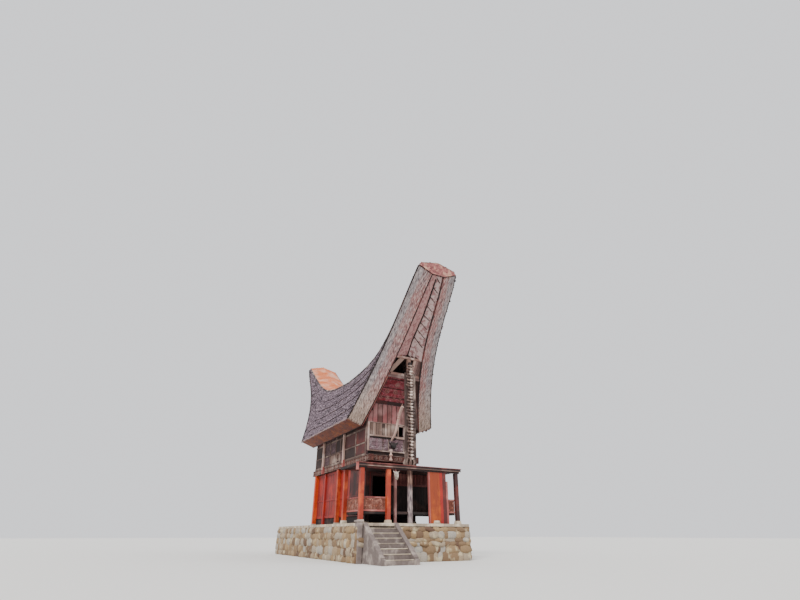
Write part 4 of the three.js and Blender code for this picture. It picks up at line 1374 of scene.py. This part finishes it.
class HOUSE_OT_plinth(bpy.types.Operator):
    """Face the plinth with rubble, lay its coping, paving and pier, and edge the steps"""
    bl_idname = "house.add_stonework"
    bl_label = "Stonework"

    def execute(self, context):
        sizes = context.scene.house_stone
        chance = random.Random(2)
        self.rubble(sizes, chance)
        block = bevelled_block(0.016)
        self.coping(block, sizes, chance)
        self.steps(block, chance)
        discard(block)
        return {"FINISHED"}

    def rubble(self, sizes, chance):
        stones = [self.stone(seed) for seed in range(5)]
        low, high = PLINTH_LOW, PLINTH_HIGH
        top = high.z - sizes.coping_height
        faces = (
            (Vector((low.x, low.y, 0)), Vector((1, 0, 0)), high.x - low.x),
            (Vector((high.x, low.y, 0)), Vector((0, 1, 0)), high.y - low.y),
            (Vector((high.x, high.y, 0)), Vector((-1, 0, 0)), high.x - low.x),
            (Vector((low.x, high.y, 0)), Vector((0, -1, 0)), high.y - low.y),
        )
        parts = []
        for number, (corner, along, extent) in enumerate(faces):
            turn = Matrix.Rotation(math.atan2(along.y, along.x), 4, "Z")
            z = 0.0
            while z < top - 0.06:
                tall = min(sizes.stone_height * chance.uniform(0.6, 1.35), top - z)
                at = 0.0
                while at < extent - 0.05:
                    wide = min(sizes.stone_length * chance.uniform(0.4, 1.5), extent - at)
                    middle = corner + along * (at + wide / 2) + Vector((0, 0, z + tall / 2))
                    behind_steps = number == 0 and STEPS_LOW.x < middle.x < STEPS_HIGH.x
                    if not behind_steps:
                        lean = Euler((0, chance.uniform(-0.22, 0.22), 0)).to_matrix().to_4x4()
                        size = (wide * 1.04, chance.uniform(0.1, 0.24), tall * 1.06, 1)
                        matrix = Matrix.Translation(middle) @ turn @ lean @ Matrix.Diagonal(size)
                        parts.append(placed(chance.choice(stones), matrix, chance.random()))
                    at += wide
                z += tall
        finish_piece("plinth_rubble", parts, "stone", smooth=50)
        discard(*stones)

    @staticmethod
    def stone(seed):
        """A rounded, uneven stone about one metre across."""
        shape = model("cube", ("subdivide", {"number_cuts": 2, "smoothness": 0.9}), size=0.86)
        bpy.ops.object.mode_set(mode="EDIT")
        bpy.ops.mesh.select_all(action="SELECT")
        bpy.ops.transform.vertex_random(offset=0.09, seed=seed)
        bpy.ops.object.mode_set(mode="OBJECT")
        return shape

    @staticmethod
    def coping(block, sizes, chance):
        """Slabs round the plinth's top, paving inside them, and a capped pier at its front left corner."""
        low, high = PLINTH_LOW, PLINTH_HIGH
        foot, top, out = high.z - sizes.coping_height, high.z + 0.012, 0.045
        width, joint, slab_length = sizes.coping_width, 0.004, 0.8
        slabs = []
        for y0, y1 in ((low.y - out, low.y + width), (high.y - width, high.y + out)):
            for a, b in spans_between(low.x - out, high.x + out, slab_length):
                slabs.append(stretched(block, (a + joint, y0, foot), (b - joint, y1, top), chance.random()))
        for x0, x1 in ((low.x - out, low.x + width), (high.x - width, high.x + out)):
            for a, b in spans_between(low.y + width, high.y - width, slab_length):
                slabs.append(stretched(block, (x0, a + joint, foot), (x1, b - joint, top), chance.random()))
        finish_piece("plinth_coping", slabs, "coping")
        paving = [stretched(block, (low.x + width, low.y + width, foot),
                            (high.x - width, high.y - width, high.z + 0.004), shade=0.5)]
        finish_piece("plinth_paving", paving, "concrete")
        shaft_top = high.z + 0.05
        pier = [stretched(block, (low.x - 0.06, low.y - 0.08, 0), (low.x + 0.2, low.y + 0.3, shaft_top),
                          shade=0.3),
                stretched(block, (low.x - 0.1, low.y - 0.12, shaft_top),
                          (low.x + 0.24, low.y + 0.34, shaft_top + 0.08), shade=0.8)]
        finish_piece("corner_pier", pier, "concrete")

    @staticmethod
    def steps(block, chance):
        """Pale nosings along the treads and slabs down the cheeks."""
        count, going, cheek, nosing = 8, 0.28, 0.2, 0.02
        rise = PLINTH_HIGH.z / count
        left, right = STEPS_LOW.x + cheek, STEPS_HIGH.x - cheek
        nosings = []
        for step in range(1, count):
            front = PLINTH_LOW.y - (count - step) * going
            nosings.append(stretched(block, (left + 0.01, front - nosing, step * rise - 0.03),
                                     (right - 0.01, front + 0.06, step * rise + 0.01), chance.random()))
        finish_piece("step_nosings", nosings, "coping")
        slabs = []
        foot = PLINTH_LOW.y - (count - 1) * going
        cheek_foot = rise + 0.06
        run = Vector((0, PLINTH_LOW.y - foot, PLINTH_HIGH.z - cheek_foot))
        tilt = Matrix.Rotation(math.atan2(run.z, run.y), 4, "X")
        for x0 in (STEPS_LOW.x, STEPS_HIGH.x - cheek):
            matrix = Matrix.Translation((x0, foot, cheek_foot)) @ tilt
            slabs.append(stretched(block, (-0.015, -0.02, -0.005), (cheek + 0.015, run.length, 0.05),
                                   shade=0.2, matrix=matrix))
        finish_piece("cheek_slabs", slabs, "concrete")


class HOUSE_OT_horn_stack(bpy.types.Operator):
    """Stack pairs of buffalo horns up the front pillar, and collar its foot on the porch roof"""
    bl_idname = "house.add_horn_stack"
    bl_label = "Horn stack"

    def execute(self, context):
        sizes = context.scene.house_carving
        low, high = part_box("horn_pillar_front")
        face, half = low.y - 0.03, sizes.horn_spread / 2
        foot, top = CANOPY_HIGH.z + 0.4, high.z - 0.5
        chance = random.Random(9)
        horns = []
        for z in steps_between(foot, top, (top - foot) / (sizes.horn_pairs - 1)):
            spread, lift = half * chance.uniform(0.6, 1.2), chance.uniform(0.02, 0.1)
            middle = chance.uniform(-0.035, 0.035)
            line = []
            for step in range(13):
                share = step / 6 - 1
                line.append((middle + spread * math.sin(share * 1.5), face - 0.09 + 0.08 * abs(share),
                             z + lift * (1 - math.cos(share * 1.5)) + chance.uniform(-0.02, 0.02)))
            horns.append(line)
        boss = half * 0.36

        def worn_middle(place):
            """Pale where the horns are tied, more on some pairs than on others."""
            return 0.8 + 0.6 * math.sin(place.z * 9) if abs(place.x) < boss else -0.6

        stack = poles(horns, radius=0.055, shade=worn_middle, sides=8,
                      taper=lambda s: 1.3 - 1.8 * abs(s - 0.5))
        finish_piece("horn_stack", [stack], "horn", smooth=60)
        block = bevelled_block(0.01)
        batten = [stretched(block, (-0.1, face - 0.05, CANOPY_HIGH.z + 0.3), (0.1, low.y + 0.06, top + 0.25),
                            shade=0.3)]
        finish_piece("horn_batten", batten, "dark")
        tie_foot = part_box("lower_tie_front")[0].z
        flanks = [stretched(block, (start, low.y + 0.05, CANOPY_HIGH.z + 0.02),
                            (stop, low.y + 0.17, tie_foot), shade)
                  for start, stop, shade in ((-0.31, -0.13, -0.2), (0.13, 0.4, -0.5))]
        finish_piece("pillar_flanks", flanks, "grey")
        collar = []
        for index in range(9):
            angle = math.tau * (index + 0.3) / 9
            root = Vector((0.24 * math.cos(angle), (low.y + high.y) / 2 + 0.24 * math.sin(angle),
                           CANOPY_HIGH.z))
            bow = Vector((0.1 * math.cos(angle), 0.1 * math.sin(angle), 0.2))
            collar.append([root, root + bow, root + Vector((0, 0, 0.42))])
        finish_piece("pillar_collar", [poles(collar, radius=0.05, shade=0.2, sides=8)], "grey",
                     smooth=60)
        discard(block)
        return {"FINISHED"}


class HOUSE_OT_horn_frames(bpy.types.Operator):
    """Board the bays between the tie beams under the horns, with a raker and a strut"""
    bl_idname = "house.add_horn_frames"
    bl_label = "Horn frames"

    def execute(self, context):
        block = bevelled_block(0.01)
        for end, direction in ENDS.items():
            lower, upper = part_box(f"lower_tie_{end}"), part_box(f"upper_tie_{end}")
            near = Vector((0, (lower[0].y + lower[1].y) / 2, lower[1].z - 0.02))
            far = Vector((0, (upper[0].y + upper[1].y) / 2, upper[0].z + 0.04))
            half = lower[1].x
            pieces = {
                "tie_raker": ((self.board(block, near, far, direction, (-half + 0.12, -0.42), width=0.34),),
                              "moulding"),
                "tie_strut": ((self.board(block, near, far, direction, (0.49, 0.47), width=0.17),), "pale"),
                "tie_bay": ([self.board(block, near, far, direction, (x, x * 0.93), width=0.17, shade=shade)
                             for x, shade in ((0.68, 0.9), (0.87, 0.3), (1.06, 0.8))], "soffit"),
                "under_tie": ([stretched(block, (-half + 0.04, near.y - 0.055, lower[0].z - 0.17),
                                         (half - 0.04, near.y + 0.055, lower[0].z - 0.005), shade=0.2)],
                              "soffit"),
            }
            for name, (parts, surface) in pieces.items():
                finish_piece(f"{name}_{end}", parts, surface)
        discard(block)
        return {"FINISHED"}

    @staticmethod
    def board(block, near, far, direction, places, width, shade=0.7):
        """A board from one place along the lower tie to another along the upper one."""
        foot = near + Vector((places[0], 0, 0))
        head = far + Vector((places[1], 0, 0))
        along = head - foot
        across = Vector((width, 0, 0))
        out = along.cross(across).normalized() * 0.05 * direction
        matrix = Matrix((across, along, out)).transposed().to_4x4()
        matrix.translation = (foot + head) / 2
        return placed(block, matrix, shade)


class HOUSE_OT_carvings(bpy.types.Operator):
    """Model the buffalo head, the long-necked bird over it, and the skull on the porch post"""
    bl_idname = "house.add_carvings"
    bl_label = "Carvings"

    def execute(self, context):
        low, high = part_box("buffalo_head")
        wall = WALL_LOW.y
        middle = (low.z + high.z) / 2
        head = self.head(Vector((0, wall - 0.22, middle - 0.08)), wide=0.46, tall=0.42)
        horns = [self.horn(sign, Vector((sign * 0.05, wall - 0.22, middle + 0.02)), spread=0.25)
                 for sign in (-1, 1)]
        ears = [[(sign * 0.08, wall - 0.18, middle + 0.07), (sign * 0.19, wall - 0.18, middle + 0.02)]
                for sign in (-1, 1)]
        parts = [head, poles(horns, radius=0.075, shade=0.3, sides=8, taper=lambda s: 1.1 - s),
                 poles(ears, radius=0.045, shade=0.3, sides=8, taper=lambda s: 1.1 - 0.7 * s)]
        finish_piece("buffalo_head_carving", parts, "black", ["buffalo_head"], smooth=60)
        self.bird()
        skull_place = Vector((-1.0, -6.93, 3.98))
        skull = self.head(skull_place, wide=0.24, tall=0.44, shade=self.socket_shade)
        stubs = [self.horn(sign, skull_place + Vector((sign * 0.04, 0.03, 0.17)), spread=0.13)
                 for sign in (-1, 1)]
        parts = [skull, poles(stubs, radius=0.032, shade=0.8, sides=8, taper=lambda s: 1.1 - s)]
        finish_piece("porch_skull", parts, "bone", smooth=60)
        return {"FINISHED"}

    def bird(self):
        """The bird's long neck on the line of the CAD's solid, with its beak and comb."""
        line = self.neck_line()
        neck = poles([line], radius=0.064, shade=lambda co: 1.3 if co.z < 7.15 else 0.8, sides=10,
                     taper=lambda s: 0.95 + 0.45 * s)
        tip = Vector(line[-1])
        beak_line = [tip, tip + Vector((0, -0.1, 0.02)), tip + Vector((0, -0.24, -0.06))]
        comb_line = [tip + Vector((0, y, z)) for y, z in ((0.02, 0.04), (-0.02, 0.14), (-0.1, 0.2))]
        beak = poles([beak_line], radius=0.06, shade=0.6, sides=8, taper=lambda s: 1.25 - s)
        comb = poles([comb_line], radius=0.035, shade=0.4, taper=lambda s: 1 - 0.7 * s)
        finish_piece("bird_neck", [neck, beak, comb], "pale", ["bird_carving"], smooth=60)
        bands = []
        for share in (0.66, 0.72, 0.78, 0.84, 0.9):
            at = line[round(share * (len(line) - 1))]
            bands.append([(at[0], at[1], at[2] - 0.02), (at[0], at[1], at[2] + 0.02)])
        finish_piece("bird_neck_bands", [poles(bands, radius=0.088, shade=0.7, sides=10)], "scales",
                     smooth=60)

    @staticmethod
    def head(place, wide, tall, shade=0.4):
        """A long buffalo head that hangs nose down: brow, cheeks and muzzle."""
        shape = model("uv_sphere", segments=24, ring_count=18, radius=0.5)
        for vertex in shape.data.vertices:
            x, y, z = vertex.co
            drop = 0.5 - z
            narrow = 1.2 - 0.85 * drop + 0.2 * math.exp(-((drop - 0.92) / 0.12) ** 2)
            vertex.co = (x * narrow * wide, (y * 0.8 - 0.16 * drop) * tall, z * tall)
        tint(shape, shade)
        shape.data.transform(Matrix.Translation(place))
        return shape

    @staticmethod
    def socket_shade(at):
        """Eye sockets and nose painted dark as shade on a skull 0.44 m tall, yellowed bone between."""
        socket = (abs(at.x) - 0.06) ** 2 + (at.z - 0.06) ** 2 < 0.045 ** 2
        nose = abs(at.x) < 0.04 and at.z < -0.12
        return -1.0 if socket or nose else 0.5 + 0.6 * math.sin(at.z * 20)

    @staticmethod
    def horn(sign, root, spread):
        """A horn that sweeps out and up."""
        line = []
        for step in range(11):
            turn = step / 10 * 1.9
            line.append(root + Vector((sign * spread * math.sin(turn), -0.005 * step,
                                       spread * 0.54 * (1 - math.cos(turn)))))
        return line

    @staticmethod
    def neck_line():
        """The neck's curve, through the middle of the CAD carving."""
        rings = {}
        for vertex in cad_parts["bird_carving"].data.vertices:
            rings.setdefault(round(vertex.co.z / 0.12), []).append(vertex.co)
        line = []
        for key in sorted(rings):
            points = rings[key]
            line.append(tuple(sum(p[axis] for p in points) / len(points) for axis in range(3)))
        return line


class HOUSE_OT_stage(bpy.types.Operator):
    """Lay a plain pale floor, light it softly and set the camera where the photograph was taken"""
    bl_idname = "house.add_stage"
    bl_label = "Stage"

    def execute(self, context):
        bpy.ops.object.select_all(action="DESELECT")
        bpy.ops.mesh.primitive_plane_add(size=400, location=(0, 0, -0.002))
        floor = context.object
        floor.name = "floor"
        made = Finish("plain_pale_floor", roughness=0.9)
        made.shader.inputs["Base Color"].default_value = rgba("#dcdad5")
        floor.data.materials.append(made.material)

        world = bpy.data.worlds.new("soft_sky")
        context.scene.world = world
        world.use_nodes = True
        background = world.node_tree.nodes["Background"]
        background.inputs["Color"].default_value = rgba("#f3f4f8")
        background.inputs["Strength"].default_value = 1.25

        lamps = (("key_light", (50, 0, -50), 3.2, 20), ("fill_light", (60, 0, 40), 0.7, 40))
        for name, turn, strength, width in lamps:
            bpy.ops.object.light_add(type="SUN", rotation=[math.radians(angle) for angle in turn])
            lamp = context.object
            lamp.name = name
            lamp.data.energy = strength
            lamp.data.angle = math.radians(width)

        # The place, lens in millimetres and turns in degrees that the photo's vanishing points give
        place, lens, pitch, heading = (-13.046, -29.26, 1.205), 20.025, 27.8, -28.8
        bpy.ops.object.camera_add(location=place,
                                  rotation=(math.radians(90 + pitch), 0, math.radians(heading)))
        camera = context.object
        camera.name = "photo_camera"
        camera.data.sensor_width = 36
        camera.data.lens = lens
        camera.data.clip_end = 500
        context.scene.camera = camera
        return {"FINISHED"}


# Panel, registration and the run


OPERATORS = (
    HOUSE_OT_finishes, HOUSE_OT_roof_slopes, HOUSE_OT_roof_edges, HOUSE_OT_horn_lining,
    HOUSE_OT_ridge_trim, HOUSE_OT_horn_ends, HOUSE_OT_gable, HOUSE_OT_end_walls, HOUSE_OT_side_walls,
    HOUSE_OT_floor_beams, HOUSE_OT_lower_storey, HOUSE_OT_posts, HOUSE_OT_porch, HOUSE_OT_plinth,
    HOUSE_OT_horn_stack, HOUSE_OT_horn_frames, HOUSE_OT_carvings, HOUSE_OT_stage,
)

SETTINGS = {
    "house_roof": HouseRoofSettings, "house_wall": HouseWallSettings, "house_stone": HouseStoneSettings,
    "house_carving": HouseCarvingSettings, "house_paint": HousePaintSettings,
}


class HOUSE_PT_sidebar(bpy.types.Panel):
    """Sizes, colours and building steps of the house"""
    bl_label = "Tongkonan House"
    bl_idname = "HOUSE_PT_sidebar"
    bl_space_type = "VIEW_3D"
    bl_region_type = "UI"
    bl_category = "House"

    def draw(self, context):
        for operator in OPERATORS:
            self.layout.operator(operator.bl_idname)
        for name, group in SETTINGS.items():
            box = self.layout.box()
            for key in group.__annotations__:
                box.prop(getattr(context.scene, name), key)


def register():
    for cls in (*SETTINGS.values(), *OPERATORS, HOUSE_PT_sidebar):
        bpy.utils.register_class(cls)
    for name, group in SETTINGS.items():
        setattr(bpy.types.Scene, name, bpy.props.PointerProperty(type=group))


def unregister():
    for name in SETTINGS:
        delattr(bpy.types.Scene, name)
    for cls in (HOUSE_PT_sidebar, *reversed(OPERATORS), *SETTINGS.values()):
        bpy.utils.unregister_class(cls)


def main():
    register()
    for operator in OPERATORS:
        group, name = operator.bl_idname.split(".")
        getattr(getattr(bpy.ops, group), name)()


if __name__ == "__main__":
    main()
